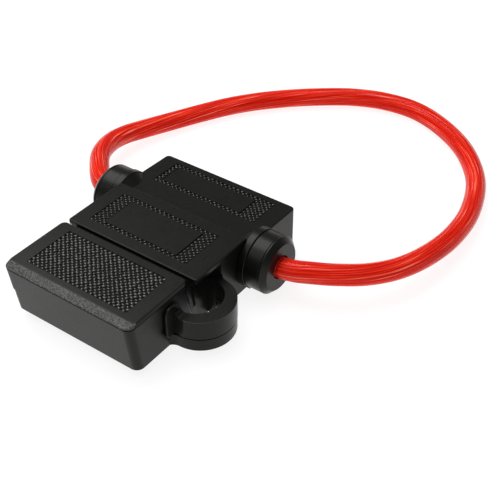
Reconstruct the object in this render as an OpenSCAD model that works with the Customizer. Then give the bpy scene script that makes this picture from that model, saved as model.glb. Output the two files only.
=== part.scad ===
// In-line holder for one 29 mm blade fuse, with a slide-off cap and an uncut red lead.
// Millimetres. X runs across the holder from gland to gland, -Y is the end the cap
// comes off, +Z is up. The holder lies flat on z = 0.

/* [Fuse] */
// Width of the fuse's plastic body
fuse_w = 29.2; // [28:0.1:31]
// Thickness of the fuse's plastic body
fuse_t = 8.9; // [8:0.1:10]
// Height of the fuse's plastic body, without the blades
fuse_h = 20.8; // [18:0.1:24]
// Width of one blade
blade_w = 8; // [6:0.1:9]
// Thickness of one blade
blade_t = 0.8; // [0.6:0.05:1.2]
// Distance from the fuse's side to the outer edge of a blade
blade_in = 0.1; // [0:0.1:2]
// Length of the fuse's head, wider and thicker than the rest
fuse_head_l = 9; // [6:0.1:12]
// Length of a blade below the plastic body
blade_len = 13.5; // [11:0.1:15]
// Wall of the fuse's plastic body
fuse_wall = 1.4; // [1:0.1:2]

/* [Lead] */
// Outer diameter of the red jacket
lead_d = 5.2; // [4.5:0.1:6.4]
// Diameter of the stranded conductor
core_d = 3.8; // [3:0.1:4.4]
// Clearance round the jacket where it passes through plastic, each side
lead_gap = 0.25; // [0.1:0.05:0.5]

/* [Socket] */
// Height of the middle of the fuse and its blades above the ground
fuse_z = 9; // [8.8:0.05:9.2]
// Clearance between the fuse and its socket, each side
fuse_gap = 0.2; // [0.1:0.05:0.4]
// Wall of the spigot that the cap slides over, at the narrow sides
spigot_wall_x = 1.4; // [1.2:0.1:2]
// Wall of the spigot above and below the fuse
spigot_wall_z = 0.8; // [0.7:0.05:0.9]
// Length of spigot that stands out of the housing
spigot_len = 11; // [8:0.5:14]
// Rounding of the spigot's long edges
spigot_r = 1.2; // [0.6:0.1:2]
// Thickness of the web between the two terminal chambers
web_t = 2; // [1.6:0.1:3]
// Thickness of the ribs that hold the terminals
rib_t = 1; // [0.8:0.1:1.4]
// Clearance between a rib and a terminal
rib_gap = 0.05; // [0.02:0.01:0.2]

/* [Housing] */
// How far the front block stands out past the cap, each side
front_out = 0.6; // [0.4:0.05:1.5]
// Height of the raised front block
front_h = 14.7; // [14.5:0.1:16]
// Place of the front block's top front edge
front_y = -8.1; // [-9:0.1:-7]
// How far the front face slopes back from its top edge to the ground
front_lean = 3.2; // [0:0.1:4]
// Thickness of the lip along the top front edge
lip_t = 1.1; // [0.8:0.1:2]
// How far the lip stands out over the face below it
lip_out = 0.7; // [0:0.1:1.2]
// Place of the step between the front and the rear block
step_y = 10.3; // [8:0.1:12]
// How far the rear block stands out past the front block at the step, each side
rear_out = 0.95; // [0.2:0.05:2]
// How far the rear block draws in towards its far end, each side
rear_in = 0.2; // [0:0.05:1]
// Height of the rear block at the step
rear_h = 12.9; // [12.6:0.1:14]
// Height of the rear block at its far end
rear_end_h = 12.4; // [12.2:0.1:13.5]
// Place of the rear end face
rear_y = 29.1; // [26:0.1:32]
// Rounding of the rear block's upright corners
rear_r = 1.1; // [0.5:0.1:3]
// Rounding of the front block's upright corners
front_r = 0.8; // [0.4:0.1:2]
// Wall round the inner chamber
shell_t = 1.8; // [1.4:0.1:2.4]
// Height of the rear chambers, in which the leads turn
chamber_h = 8.6; // [8:0.1:9]

/* [Glands] */
// Height of the gland axis above the ground
gland_z = 7.6; // [7.3:0.1:8]
// Place of the gland axis along the holder
gland_y = 13.5; // [12.5:0.1:14.5]
// Diameter of a gland
gland_d = 14.3; // [13:0.1:14.6]
// How far a gland stands out of the rear block's side
gland_l = 6.5; // [5.5:0.1:8]
// Length of a gland's end cap
gland_cap_t = 1.8; // [1.2:0.1:2.4]
// Length of the slope on a gland's end cap
gland_slope_l = 1.1; // [0.5:0.1:1.6]
// Radial depth of that slope
gland_slope_r = 1.2; // [0.5:0.1:2]
// Diameter of the collar at a gland's root
collar_d = 14.8; // [14.6:0.1:15.2]
// Length of the collar outside the rear block
collar_l = 0.9; // [0.5:0.1:1.5]
// Width and depth of the groove beside the collar
groove_w = 0.35; // [0.2:0.05:0.5]
// Length over which a gland fades into the top of the housing
fade_l = 2.6; // [1:0.1:5]
// Diameter of the seal inside a gland
seal_d = 10.4; // [9:0.1:11]
// Length of the seal inside a gland
seal_l = 3.2; // [2:0.1:4]
// Length of the spigot that holds an end cap in the seal's bore
gland_plug_l = 0.8; // [0.5:0.1:1.5]

/* [Cap] */
// Thickness of the cap's side walls
cap_wall = 1.75; // [1.2:0.05:2.4]
// Top of the cap
cap_top = 15.8; // [15.6:0.1:17]
// Underside of the cap, in line with the lower ear
cap_low = 2.2; // [1.5:0.1:2.4]
// Length of the cap along its top, with the sloped front edge
cap_len = 19.2; // [18:0.1:22]
// Place of the cap's top rear edge
cap_y = -10; // [-11:0.1:-9]
// Depth of the sloped front edge, seen from above
cap_slope_y = 2.1; // [0.5:0.1:3]
// Height of the sloped front edge
cap_slope_z = 0.7; // [0.3:0.1:3]
// Bevel along the cap's top side edges, seen from above
cap_bevel = 0.25; // [0.1:0.05:0.5]
// Rounding of the cap's upright front corners
cap_r = 1.9; // [1:0.1:4]
// Rounding of the upright corners at the cap's mouth
mouth_r = 1.5; // [0.5:0.1:2]
// Height of the step round the cap's walls
cap_mid_z = 8.5; // [7:0.1:10]
// Depth of that step
cap_step = 0.15; // [0.05:0.05:0.3]
// How far the cap's front draws in from top to bottom
cap_front_in = 1.7; // [0:0.1:2]
// Clearance between the cap and the spigot, each side
cap_gap = 0.3; // [0.2:0.05:0.5]
// Clearance between the cap's inner step and the spigot's end
cap_stop_gap = 0.2; // [0.1:0.05:0.5]
// Clearance between the fuse's head and the cap
cap_fuse_gap = 0.8; // [0.4:0.1:1.5]

/* [Ears] */
// Outer radius of the upper ear
ear_r = 8.05; // [7:0.05:9]
// Distance of the ears' middle from the cap's side
ear_out = 1.6; // [0.5:0.05:3]
// Place of the ears' middle along the holder
ear_y = -8.05; // [-9:0.05:-7]
// Radius of the hole through the ears
ear_hole_r = 6.15; // [5:0.05:7]
// Distance of the hole's middle from the cap's side
ear_hole_out = 0.25; // [0:0.05:1]
// Place of the hole's middle along the holder
ear_hole_y = -7.65; // [-9:0.05:-7]
// Top of the upper ear
ear_top = 10.3; // [9:0.05:11]
// Underside of the upper ear
ear_split = 5.5; // [5:0.05:7]
// Clearance between the two ears
ear_gap = 0.25; // [0.2:0.05:0.5]
// Underside of the lower ear
ear_low = 2.2; // [1:0.1:3]
// How much smaller the lower ear's radius is
ear_low_in = 0.25; // [0:0.05:0.6]
// Bevel on the upper ear's top rim
ear_bevel = 0.45; // [0.2:0.05:1]
// Fillet radius where the upper ear meets a wall
ear_fillet = 2.5; // [1:0.1:3.5]
// Top of the tab with which the upper ear bears on the cap's side
tab_top = 13.1; // [11:0.1:14]
// Half the width of that tab
tab_r = 2.4; // [1.5:0.1:3]
// Thickness of that tab
tab_t = 0.55; // [0.4:0.05:1]

/* [Grip panels] */
// Depth of the recessed grip panels
grip_depth = 0.25; // [0.1:0.05:0.4]
// Width of a grip frame along its long sides
frame_side = 1.3; // [1:0.1:3]
// Width of the front block's frame at its ends
frame_end = 3.8; // [2:0.1:7]
// Distance of the front block's frame from the block's left side
front_frame_left = 3.9; // [2:0.1:6]
// Distance of the front block's frame from the block's right side
front_frame_right = 5.3; // [2:0.1:7]
// Distance of the front block's frame from the block's front and rear edge
front_frame_y = 3.1; // [2:0.1:4]
// Width of the rear block's frame at its right end
rear_frame_right = 5; // [2:0.1:8]
// Width of the rear block's frame at its left end
rear_frame_left = 2; // [1:0.1:4]
// Distance of the rear block's frame from the block's sides
rear_frame_x = 4.6; // [2:0.1:6]
// Distance of the rear block's frame from the step
rear_frame_front = 7.8; // [6:0.1:9]
// Distance of the rear block's frame from the rear end
rear_frame_end = 1.9; // [1:0.1:3]
// Distance of the cap's panel from the cap's sides
panel_x = 3.95; // [2:0.05:6]
// Distance of the cap's panel from the cap's front
panel_front = 3.7; // [3:0.1:5]
// Distance of the cap's panel from the cap's mouth
panel_rear = 2.1; // [1.5:0.1:4]

/* [Terminals] */
// Thickness of the terminal's brass strip
strip_t = 0.8; // [0.6:0.05:1]
// Clearance between a blade's inner edge and the terminal
blade_gap = 0.15; // [0.1:0.05:0.3]
// Height of the spring's space above the blade
spring_h = 1.1; // [0.8:0.1:1.6]
// Thickness of the spring strip
spring_t = 0.35; // [0.2:0.05:0.5]
// Length of the clasp that grips the blade
grip_l = 11.5; // [9:0.1:13]
// Length of the crimp barrel
barrel_l = 6.6; // [5:0.1:8]
// Wall of the crimp barrel
barrel_t = 0.8; // [0.6:0.05:1]

/* [Hidden] */
$fn = 96;
e = 0.01;

// Fuse and socket
blade_x = fuse_w / 2 - blade_in - blade_w / 2;
pocket_w = fuse_w + 2 * fuse_gap;
pocket_t = fuse_t + 2 * fuse_gap;
spigot_w = pocket_w + 2 * spigot_wall_x;
spigot_h = pocket_t + 2 * spigot_wall_z;
spigot_y = front_y - spigot_len;
cap_front = cap_y - cap_len;
slope_low = cap_top - cap_slope_z;
fuse_y = cap_front + 2.4 + cap_fuse_gap;
seat_y = fuse_y + fuse_h;
blade_end = seat_y + blade_len;

// Cap
cap_in_w = spigot_w + 2 * cap_gap;
cap_w = cap_in_w + 2 * cap_wall;
cap_in_h = spigot_h + 2 * cap_gap;
cap_stop_y = spigot_y - cap_stop_gap;
cap_head_w = fuse_w + 1.6;
cap_head_h = fuse_t + 1.2;

// Terminals
clasp_x0 = blade_x - blade_w / 2 - blade_gap - strip_t;
clasp_x1 = blade_x + blade_w / 2;
clasp_low = fuse_z - blade_t / 2 - strip_t;
clasp_top = fuse_z + blade_t / 2 + spring_h + strip_t;
clasp_y = seat_y + 0.6;
barrel_r = core_d / 2 + 0.05 + barrel_t;
barrel_x = blade_x - barrel_l / 2 + 0.4;
strip_end = barrel_x + barrel_l + 0.6;
neck_w = barrel_l - 1.2;

// Blocks, glands and ears
front_w = cap_w + 2 * front_out;
rear_w = front_w + 2 * rear_out;
rear_end_w = rear_w - 2 * rear_in;
gland_x = rear_w / 2 + gland_l;
ear_x = cap_w / 2 + ear_out;
ear_hole_x = cap_w / 2 + ear_hole_out;

// Chamber
chamber_w = pocket_w;
chamber_low = fuse_z - pocket_t / 2;
chamber_top = fuse_z + pocket_t / 2;
chamber_y = step_y - shell_t;
rear_roof = rear_end_h - shell_t;

// Glands
collar_x = rear_w / 2 + collar_l;
gland_cap_x = gland_x - gland_cap_t;
seal_x = gland_cap_x - gland_plug_l - seal_l;

// Route of the lead's middle line, gland face to gland face, seen from above
lead_route = [
    [26.3, 13.5, 7.6], [29.4, 13.9, 7.8], [32.3, 15.1, 7.9], [38.2, 18.5, 7.8],
    [43.6, 23.4, 7.3], [47.8, 30.2, 6.6], [50.3, 39.3, 5.6], [51.2, 50.7, 4.5],
    [49.6, 63.7, 3.5], [44.5, 77.5, 2.9], [35.8, 88.7, 2.8], [25.4, 96.1, 2.8],
    [14.8, 100, 2.8], [4.8, 99.6, 2.8], [-3.8, 96.4, 2.8], [-11.5, 91.2, 2.8],
    [-18.7, 85.1, 2.8], [-25.4, 78.1, 2.8], [-31, 70.5, 2.8], [-35.6, 62, 2.8],
    [-39.4, 53.1, 3.1], [-42.4, 44.4, 3.8], [-43.5, 38.7, 4.6], [-43, 32.4, 5.6],
    [-39.9, 25.2, 6.8], [-34.6, 18.9, 7.5], [-30.2, 15, 7.7], [-26.3, 13.5, 7.6]
];
lead_sides = 12;
lead_steps = 3;

// A box from its lowest corner to its highest corner
module span(a, b) {
    translate(a)
        cube(b - a);
}

// A cylinder along X from x0 to x1
module rod_x(x0, x1, y, z, d) {
    translate([x0, y, z])
        rotate([0, 90, 0])
            cylinder(h = x1 - x0, d = d);
}

// A rectangle centred on the origin with rounded corners
module round_rect(w, h, r) {
    union() {
        square([w - 2 * r, h], center = true);
        square([w, h - 2 * r], center = true);
        for (sx = [-1, 1], sy = [-1, 1])
            translate([sx * (w / 2 - r), sy * (h / 2 - r)])
                circle(r = r);
    }
}

// A rounded bar along Y from y0 to y1, round the holder's axis
module bar_y(y0, y1, w, h, r) {
    translate([0, y1, fuse_z])
        rotate([90, 0, 0])
            linear_extrude(y1 - y0)
                round_rect(w, h, r);
}

// Plan of a block with only its rear corners rounded
module rear_plan() {
    w1 = rear_w / 2;
    w2 = rear_end_w / 2;
    difference() {
        polygon([[-w1, step_y], [w1, step_y], [w2, rear_y], [-w2, rear_y]]);
        for (s = [-1, 1])
            translate([s * (w2 - rear_r), rear_y - rear_r])
                difference() {
                    translate([s > 0 ? 0 : -rear_r - 1, 0])
                        square(rear_r + 1);
                    circle(r = rear_r);
                }
    }
}

// Side outline, drawn in Y and Z, extruded across the whole width
module across(w) {
    translate([-w / 2, 0, 0])
        rotate([90, 0, 90])
            linear_extrude(w)
                children();
}

// Plan of an ear of radius r, with fillets at the ends named, which run out on the line x = wall
module ear_plan(r, wall, fillet, ends) {
    reach = sqrt(pow(r + fillet, 2) - pow(wall + fillet - ear_x, 2));
    root = ear_x - wall + (wall + fillet - ear_x) * r / (r + fillet) - 0.05;
    difference() {
        union() {
            intersection() {
                translate([ear_x, ear_y])
                    circle(r = r);
                translate([wall, ear_y - 20])
                    square([40, 40]);
            }
            for (s = ends)
                difference() {
                    translate([wall, ear_y + (s > 0 ? 0 : -reach)])
                        square([root, reach]);
                    translate([wall + fillet, ear_y + s * reach])
                        circle(r = fillet);
                }
        }
        ear_hole();
    }
}

// Plan of the hole through the ears
module ear_hole() {
    translate([ear_hole_x, ear_hole_y])
        circle(r = ear_hole_r);
    translate([ear_hole_x - 6, ear_hole_y - ear_hole_r])
        square([6, 2 * ear_hole_r]);
}

// Shallow grip frame: outer rectangle less an inner rectangle, in plan
module frame_plan(x0, x1, y0, y1, side, left, right) {
    difference() {
        translate([x0, y0])
            square([x1 - x0, y1 - y0]);
        translate([x0 + left, y0 + side])
            square([x1 - x0 - left - right, y1 - y0 - 2 * side]);
    }
}

module body_shell() {
    // Front block with its leaning face and its lip
    intersection() {
        across(front_w)
            polygon([
                [front_y + front_lean, 0], [step_y + 1, 0], [step_y + 1, rear_h - 2],
                [step_y, front_h], [front_y, front_h], [front_y, front_h - lip_t],
                [front_y + lip_out, front_h - lip_t]]);
        translate([0, (front_y + step_y) / 2 + 1, -e])
            linear_extrude(front_h + 1)
                round_rect(front_w, step_y - front_y + 2 + 2 * e, front_r);
    }
    // Rear block, falling and drawing in towards its end
    intersection() {
        across(rear_w + 2)
            polygon([[step_y, 0], [rear_y, 0], [rear_y, rear_end_h], [step_y, rear_h]]);
        translate([0, 0, -e])
            linear_extrude(rear_h + 1)
                rear_plan();
    }
    // Spigot for the cap
    bar_y(spigot_y, front_y + front_lean + 1, spigot_w, spigot_h, spigot_r);
    // Glands
    for (s = [-1, 1]) {
        translate([s * (rear_w / 2 - 0.8), gland_y, gland_z])
            rotate([0, s * 90, 0])
                cylinder(h = gland_cap_x - rear_w / 2 + 0.8, d = gland_d);
        translate([s * (rear_w / 2 - 0.8), gland_y, gland_z])
            rotate([0, -s * 90, 0])
                cylinder(h = fade_l, r1 = gland_d / 2, r2 = rear_h - gland_z - 0.3);
        translate([s * (rear_w / 2 - 0.8), gland_y, gland_z])
            rotate([0, s * 90, 0])
                cylinder(h = collar_l + 0.8, d = collar_d);
    }
}

module body_hollow() {
    // Socket for the fuse and the two terminal chambers behind it
    span([-pocket_w / 2, spigot_y - 1, chamber_low], [pocket_w / 2, seat_y, chamber_top]);
    for (s = [-1, 1]) {
        x0 = s > 0 ? web_t / 2 : -chamber_w / 2;
        x1 = x0 + (chamber_w - web_t) / 2;
        span([x0, seat_y - e, chamber_low], [x1, chamber_y, chamber_top]);
        span([x0, chamber_y - e, rear_roof - chamber_h], [x1, rear_y - shell_t, rear_roof]);
    }
    // Bores for the leads and the seals
    for (s = [-1, 1])
        translate([s * (chamber_w / 2 - 1), gland_y, gland_z])
            rotate([0, s * 90, 0]) {
                cylinder(h = gland_x, d = lead_d + 2 * lead_gap);
                translate([0, 0, seal_x - chamber_w / 2 + 1])
                    cylinder(h = gland_x, d = seal_d);
            }
    // Groove beside each collar
    for (s = [-1, 1])
        translate([s > 0 ? collar_x : -collar_x - groove_w, gland_y, gland_z])
            rotate([0, 90, 0])
                difference() {
                    cylinder(h = groove_w, d = gland_d + 2);
                    translate([0, 0, -e])
                        cylinder(h = groove_w + 2 * e, d = gland_d - groove_w * 2);
                }
}

// Ribs that carry and cover the terminals
module body_ribs() {
    for (s = [-1, 1], x = [clasp_x0 + rib_t / 2, clasp_x1 - rib_t / 2]) {
        span([s * x - rib_t / 2, seat_y, chamber_low - e],
            [s * x + rib_t / 2, clasp_y + grip_l, clasp_low - rib_gap]);
        span([s * x - rib_t / 2, seat_y, clasp_top + rib_gap],
            [s * x + rib_t / 2, clasp_y + grip_l, chamber_top + e]);
    }
}

module upper_ear() {
    cap_side = cap_w / 2 + cap_gap;
    difference() {
        union() {
            difference() {
                translate([0, 0, ear_split])
                    linear_extrude(ear_top - ear_split)
                        ear_plan(ear_r, cap_side, ear_fillet, [-1, 1]);
                // Bevel round the top rim
                translate([ear_x, ear_y, ear_top - ear_bevel])
                    rotate_extrude()
                        polygon([[ear_r, 0], [ear_r + 6, 0], [ear_r + 6, ear_bevel + 1],
                            [ear_r - ear_bevel, ear_bevel + 1], [ear_r - ear_bevel, ear_bevel]]);
            }
            // Tab that bears on the cap's side
            translate([cap_side, 0, 0])
                rotate([90, 0, 90])
                    linear_extrude(tab_t)
                        union() {
                            translate([ear_y - ear_r - tab_r / 2 + 1, tab_top - tab_r])
                                circle(r = tab_r);
                            translate([ear_y - ear_r - tab_r * 1.5 + 1, ear_split])
                                square([2 * tab_r, tab_top - tab_r - ear_split]);
                        }
        }
        translate([0, 0, ear_split - 1])
            linear_extrude(tab_top)
                ear_hole();
    }
}

// Notch in the front block's side, in line with the hole through the ears
module ear_notch() {
    x0 = front_w / 2 - 2.2;
    y0 = ear_hole_y - ear_hole_r;
    y1 = ear_hole_y + ear_hole_r;
    span([x0, y0, -1], [ear_hole_x, y1, front_h - lip_t]);
    translate([0, 0, -1])
        linear_extrude(front_h - lip_t + 1)
            ear_hole();
    // Slanted end above the ear
    translate([0, 0, ear_top])
        linear_extrude(front_h - lip_t - ear_top)
            polygon([[x0, y0], [x0, y1], [front_w / 2 + 1, y1 + 3.2], [front_w / 2 + 1, y0]]);
}

module body_housing() {
    color([0.09, 0.09, 0.09])
        difference() {
            union() {
                difference() {
                    body_shell();
                    body_hollow();
                    ear_notch();
                }
                body_ribs();
                upper_ear();
            }
            // Grip frames in the two top faces
            translate([0, 0, front_h - grip_depth])
                linear_extrude(1)
                    frame_plan(front_frame_left - front_w / 2, front_w / 2 - front_frame_right,
                        front_y + front_frame_y, step_y - front_frame_y,
                        frame_side, frame_end, frame_end);
            translate([0, step_y, rear_h])
                rotate([atan2(rear_end_h - rear_h, rear_y - step_y), 0, 0])
                    translate([0, -step_y, -grip_depth])
                        linear_extrude(1)
                            frame_plan(rear_frame_x - rear_w / 2, rear_w / 2 - rear_frame_x,
                                step_y + rear_frame_front, rear_y - rear_frame_end, frame_side,
                                rear_frame_left, rear_frame_right);
        }
}

// Place of the cap's leaning front face at height z
function front_at(z) =
    cap_front + cap_front_in * (slope_low - z) / (slope_low - cap_low);

// Cuts the rounding of one upright front corner, leaning with the front face
module front_corner(s, inset) {
    lean = atan2(cap_front_in, slope_low - cap_low);
    cut_r = cap_r - 0.03;
    translate([s * (cap_w / 2 - inset - cap_r), front_at(cap_low) + inset + cap_r / cos(lean),
        cap_low])
        rotate([lean, 0, 0])
            translate([0, 0, -2])
                linear_extrude(cap_top + 4)
                    difference() {
                        translate([s > 0 ? 0 : -cap_r - 2, -cap_r - 2])
                            square(cap_r + 2);
                        circle(r = cut_r);
                    }
}

module cap_shell() {
    w = cap_w / 2;
    // Upper half with the sloped front edge
    difference() {
        across(cap_w)
            polygon([[front_at(cap_mid_z), cap_mid_z], [cap_y + 6, cap_mid_z],
                [cap_y + 6, cap_top], [cap_front + cap_slope_y, cap_top], [cap_front, slope_low]]);
        for (s = [-1, 1]) {
            front_corner(s, 0);
            translate([0, cap_y + 7, 0])
                rotate([90, 0, 0])
                    linear_extrude(cap_len + 9)
                        polygon([[s * w, slope_low], [s * (w - cap_bevel), cap_top],
                            [s * (w - cap_bevel), cap_top + 1], [s * (w + 1), cap_top + 1],
                            [s * (w + 1), slope_low]]);
        }
    }
    // Lower half
    difference() {
        across(cap_w - 2 * cap_step)
            polygon([[front_at(cap_low) + cap_step, cap_low], [cap_y + 6, cap_low],
                [cap_y + 6, cap_mid_z + e], [front_at(cap_mid_z) + cap_step, cap_mid_z + e]]);
        for (s = [-1, 1])
            front_corner(s, cap_step);
    }
}

// Rounds off the upright corner at the cap's mouth, for the side s
module mouth_corner(s) {
    translate([s * (cap_w / 2 - mouth_r - 0.03), cap_y - mouth_r - 0.03, cap_top])
        rotate([atan2(front_lean, front_h), 0, 0])
            translate([0, 0, -cap_top * 1.2])
                linear_extrude(cap_top * 1.3)
                    difference() {
                        translate([s > 0 ? 0 : -mouth_r - 1, 0])
                            square(mouth_r + 1);
                        circle(r = mouth_r);
                    }
}

module lower_ear() {
    intersection() {
        translate([0, 0, ear_low])
            linear_extrude(ear_split - ear_gap - ear_low)
                difference() {
                    ear_plan(ear_r - ear_low_in, cap_w / 2 - cap_step - 0.6, ear_fillet, [-1]);
                    // Clear of the housing's side
                    translate([0, front_y - 1])
                        square([front_w / 2 + cap_gap, 12]);
                }
        translate([0, -40, 0])
            cube([60, 40 - 0.1, 20]);
    }
}

module cap() {
    color([0.1, 0.1, 0.1])
        union() {
            difference() {
                cap_shell();
                // Mouth, leaning like the housing's front face
                across(cap_w + 4)
                    polygon([[cap_y, cap_top + 1], [cap_y, front_h - lip_t],
                        [cap_y + front_lean, 0], [cap_y + 12, 0], [cap_y + 12, cap_top + 1]]);
                for (s = [-1, 1])
                    mouth_corner(s);
                // Room for the spigot, then for the fuse's head
                bar_y(cap_stop_y, cap_y + 12, cap_in_w, cap_in_h, spigot_r + cap_gap);
                bar_y(fuse_y - cap_fuse_gap, cap_y, cap_head_w, cap_head_h, 0.6);
                // Grip panel
                translate([0, 0, cap_top - grip_depth])
                    linear_extrude(1)
                        translate([panel_x - cap_w / 2, cap_front + panel_front])
                            square([cap_w - 2 * panel_x, cap_len - panel_front - panel_rear]);
            }
            lower_ear();
        }
}

// End cap of a gland, for the side s
module gland_cap(s) {
    r = gland_d / 2;
    translate([s * gland_cap_x, gland_y, gland_z])
        rotate([0, s * 90, 0])
            rotate_extrude()
                polygon([
                    [lead_d / 2 + lead_gap, -gland_plug_l], [seal_d / 2 - 0.05, -gland_plug_l],
                    [seal_d / 2 - 0.05, 0], [r - 0.15, 0], [r - 0.15, 0.15], [r, 0.15],
                    [r, gland_cap_t - gland_slope_l], [r - gland_slope_r * 0.3, gland_cap_t - 0.35],
                    [r - gland_slope_r, gland_cap_t], [lead_d / 2 + lead_gap, gland_cap_t]]);
}

module gland_cap_right() {
    color([0.1, 0.1, 0.1])
        gland_cap(1);
}

module gland_cap_left() {
    color([0.1, 0.1, 0.1])
        gland_cap(-1);
}

// Rubber seal with three ribs outside, for the side s
module wire_seal(s) {
    r = seal_d / 2 - 0.05;
    q = r - 0.5;
    l = seal_l;
    translate([s * seal_x, gland_y, gland_z])
        rotate([0, s * 90, 0])
            rotate_extrude()
                polygon([
                    [lead_d / 2 + 0.05, 0], [r, 0], [r, l * 0.2], [q, l * 0.3], [r, l * 0.4],
                    [r, l * 0.6], [q, l * 0.7], [r, l * 0.8], [r, l], [lead_d / 2 + 0.05, l]]);
}

module wire_seal_right() {
    color([0.15, 0.15, 0.15])
        wire_seal(1);
}

module wire_seal_left() {
    color([0.15, 0.15, 0.15])
        wire_seal(-1);
}

module fuse_housing() {
    neck_w_f = fuse_w - 2;
    neck_t = fuse_t - 1.2;
    color([0.75, 0.3, 0.1])
        difference() {
            union() {
                // Head, then the slimmer shank
                bar_y(fuse_y, fuse_y + fuse_head_l, fuse_w, fuse_t, 1);
                bar_y(fuse_y + fuse_head_l - e, seat_y, neck_w_f, neck_t, 0.8);
                // Shoulders on which the shank is guided
                for (s = [-1, 1])
                    span([s * (fuse_w / 2 - 1.5) - 1.5, seat_y - 3, fuse_z - 1.5],
                        [s * (fuse_w / 2 - 1.5) + 1.5, seat_y, fuse_z + 1.5]);
            }
            // Space round the link
            span([-fuse_w / 2 + 2.6, fuse_y + fuse_wall, fuse_z - neck_t / 2 + fuse_wall],
                [fuse_w / 2 - 2.6, seat_y - 6, fuse_z + neck_t / 2 - fuse_wall]);
            // Slots for the blades
            for (s = [-1, 1])
                span([s * blade_x - blade_w / 2 - 0.05, fuse_y + 3.5, fuse_z - blade_t / 2 - 0.05],
                    [s * blade_x + blade_w / 2 + 0.05, seat_y + 1, fuse_z + blade_t / 2 + 0.05]);
            // Test slots in the head
            for (s = [-1, 1])
                span([s * blade_x - 1.5, fuse_y - 1, fuse_z - 0.6],
                    [s * blade_x + 1.5, fuse_y + 3, fuse_z + 0.6]);
        }
}

module fuse_element() {
    top = fuse_y + 3.6;
    color([0.7, 0.7, 0.72])
        translate([0, 0, fuse_z - blade_t / 2])
            linear_extrude(blade_t)
                union() {
                    for (s = [-1, 1])
                        difference() {
                            translate([s * blade_x - blade_w / 2, top])
                                square([blade_w, blade_end - top]);
                            for (d = [-1, 1])
                                translate([s * blade_x + d * blade_w / 2, blade_end])
                                    rotate(45)
                                        square(1.6, center = true);
                        }
                    // Link between the blades, bent to a narrow bow
                    difference() {
                        translate([0, top + 7])
                            circle(r = blade_x - blade_w / 2 + 0.6);
                        translate([0, top + 7])
                            circle(r = blade_x - blade_w / 2 - 1.6);
                        translate([-10, top + 7])
                            square([20, 12]);
                    }
                }
}

// Flag terminal of the right side
module terminal_shape() {
    difference() {
        union() {
            // Clasp round the blade, open at its outer side
            span([clasp_x0, clasp_y, clasp_low], [clasp_x1, clasp_y + grip_l, clasp_top]);
            // Neck to the barrel
            span([barrel_x + 0.6, clasp_y + grip_l - e, clasp_low],
                [barrel_x + 0.6 + neck_w, gland_y, clasp_low + strip_t]);
            // Crimp barrel, across the blade
            rod_x(barrel_x, barrel_x + barrel_l, gland_y, gland_z, 2 * barrel_r);
        }
        // Inside of the clasp
        span([clasp_x0 + strip_t, clasp_y - 1, clasp_low + strip_t],
            [clasp_x1 + 1, clasp_y + grip_l + e, clasp_top - strip_t]);
        rod_x(barrel_x - 1, barrel_x + barrel_l + 1, gland_y, gland_z, core_d + 0.1);
    }
}

module terminal_right() {
    color([0.8, 0.78, 0.7])
        terminal_shape();
}

module terminal_left() {
    color([0.8, 0.78, 0.7])
        mirror([1, 0, 0])
            terminal_shape();
}

// Bowed spring between a terminal's top and the blade, right side
module spring_shape() {
    y0 = clasp_y + 0.6;
    y1 = clasp_y + grip_l - 0.6;
    ym = (y0 + y1) / 2;
    zt = fuse_z + blade_t / 2 + spring_h - 0.05;
    zb = fuse_z + blade_t / 2 + 0.05;
    translate([blade_x - blade_w / 2 + 0.4, 0, 0])
        rotate([90, 0, 90])
            linear_extrude(blade_w - 0.8)
                polygon([
                    [y0, zt], [y0, zt - spring_t], [ym - 2.4, zb + 0.15], [ym - 1, zb],
                    [ym + 1, zb], [ym + 2.4, zb + 0.15], [y1, zt - spring_t], [y1, zt],
                    [ym + 2.4, zb + 0.15 + spring_t], [ym + 1, zb + spring_t],
                    [ym - 1, zb + spring_t], [ym - 2.4, zb + 0.15 + spring_t]]);
}

module terminal_spring_right() {
    color([0.6, 0.62, 0.65])
        spring_shape();
}

module terminal_spring_left() {
    color([0.6, 0.62, 0.65])
        mirror([1, 0, 0])
            spring_shape();
}

module conductor_right() {
    color([0.8, 0.45, 0.25])
        rod_x(barrel_x + 0.2, gland_x - 0.4, gland_y, gland_z, core_d);
}

module conductor_left() {
    color([0.8, 0.45, 0.25])
        rod_x(-gland_x + 0.4, -barrel_x - 0.2, gland_y, gland_z, core_d);
}

// Jacket inside a gland, ending just short of the barrel
module jacket_shape() {
    difference() {
        rod_x(strip_end, gland_x, gland_y, gland_z, lead_d);
        rod_x(strip_end - 1, gland_x - 0.4, gland_y, gland_z, core_d + 0.02);
    }
}

module jacket_end_right() {
    color([0.8, 0.1, 0.08])
        jacket_shape();
}

module jacket_end_left() {
    color([0.8, 0.1, 0.08])
        mirror([1, 0, 0])
            jacket_shape();
}

// Point at t on the curve through a, b, c, d, between b and c
function glide(a, b, c, d, t) =
    0.5 * ((2 * b) + (c - a) * t + (2 * a - 5 * b + 4 * c - d) * t * t
    + (3 * b - a - 3 * c + d) * t * t * t);

function unit(v) = v / norm(v);

lead_n = len(lead_route);

// Route with a point added before and after it, so that it leaves each gland straight
function route_at(i) =
    i < 0 ? lead_route[0] - [3, 0, 0]
    : i >= lead_n ? lead_route[lead_n - 1] + [3, 0, 0]
    : lead_route[i];

lead_line = [
    for (i = [0 : lead_n - 2], k = [0 : lead_steps - 1])
        glide(route_at(i - 1), route_at(i), route_at(i + 1), route_at(i + 2), k / lead_steps),
    lead_route[lead_n - 1]
];
lead_m = len(lead_line);

function lead_dir(i) =
    i == 0 ? [1, 0, 0]
    : i == lead_m - 1 ? [1, 0, 0]
    : unit(lead_line[i + 1] - lead_line[i - 1]);

// Ring of points round the middle line at i, its first point on the level side
function lead_ring(i) =
    let (d = lead_dir(i), side = unit(cross(d, [0, 0, 1])), up = cross(side, d))
    [for (k = [0 : lead_sides - 1])
        let (a = 360 * k / lead_sides)
        lead_line[i] + lead_d / 2 * (cos(a) * side + sin(a) * up)];

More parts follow.
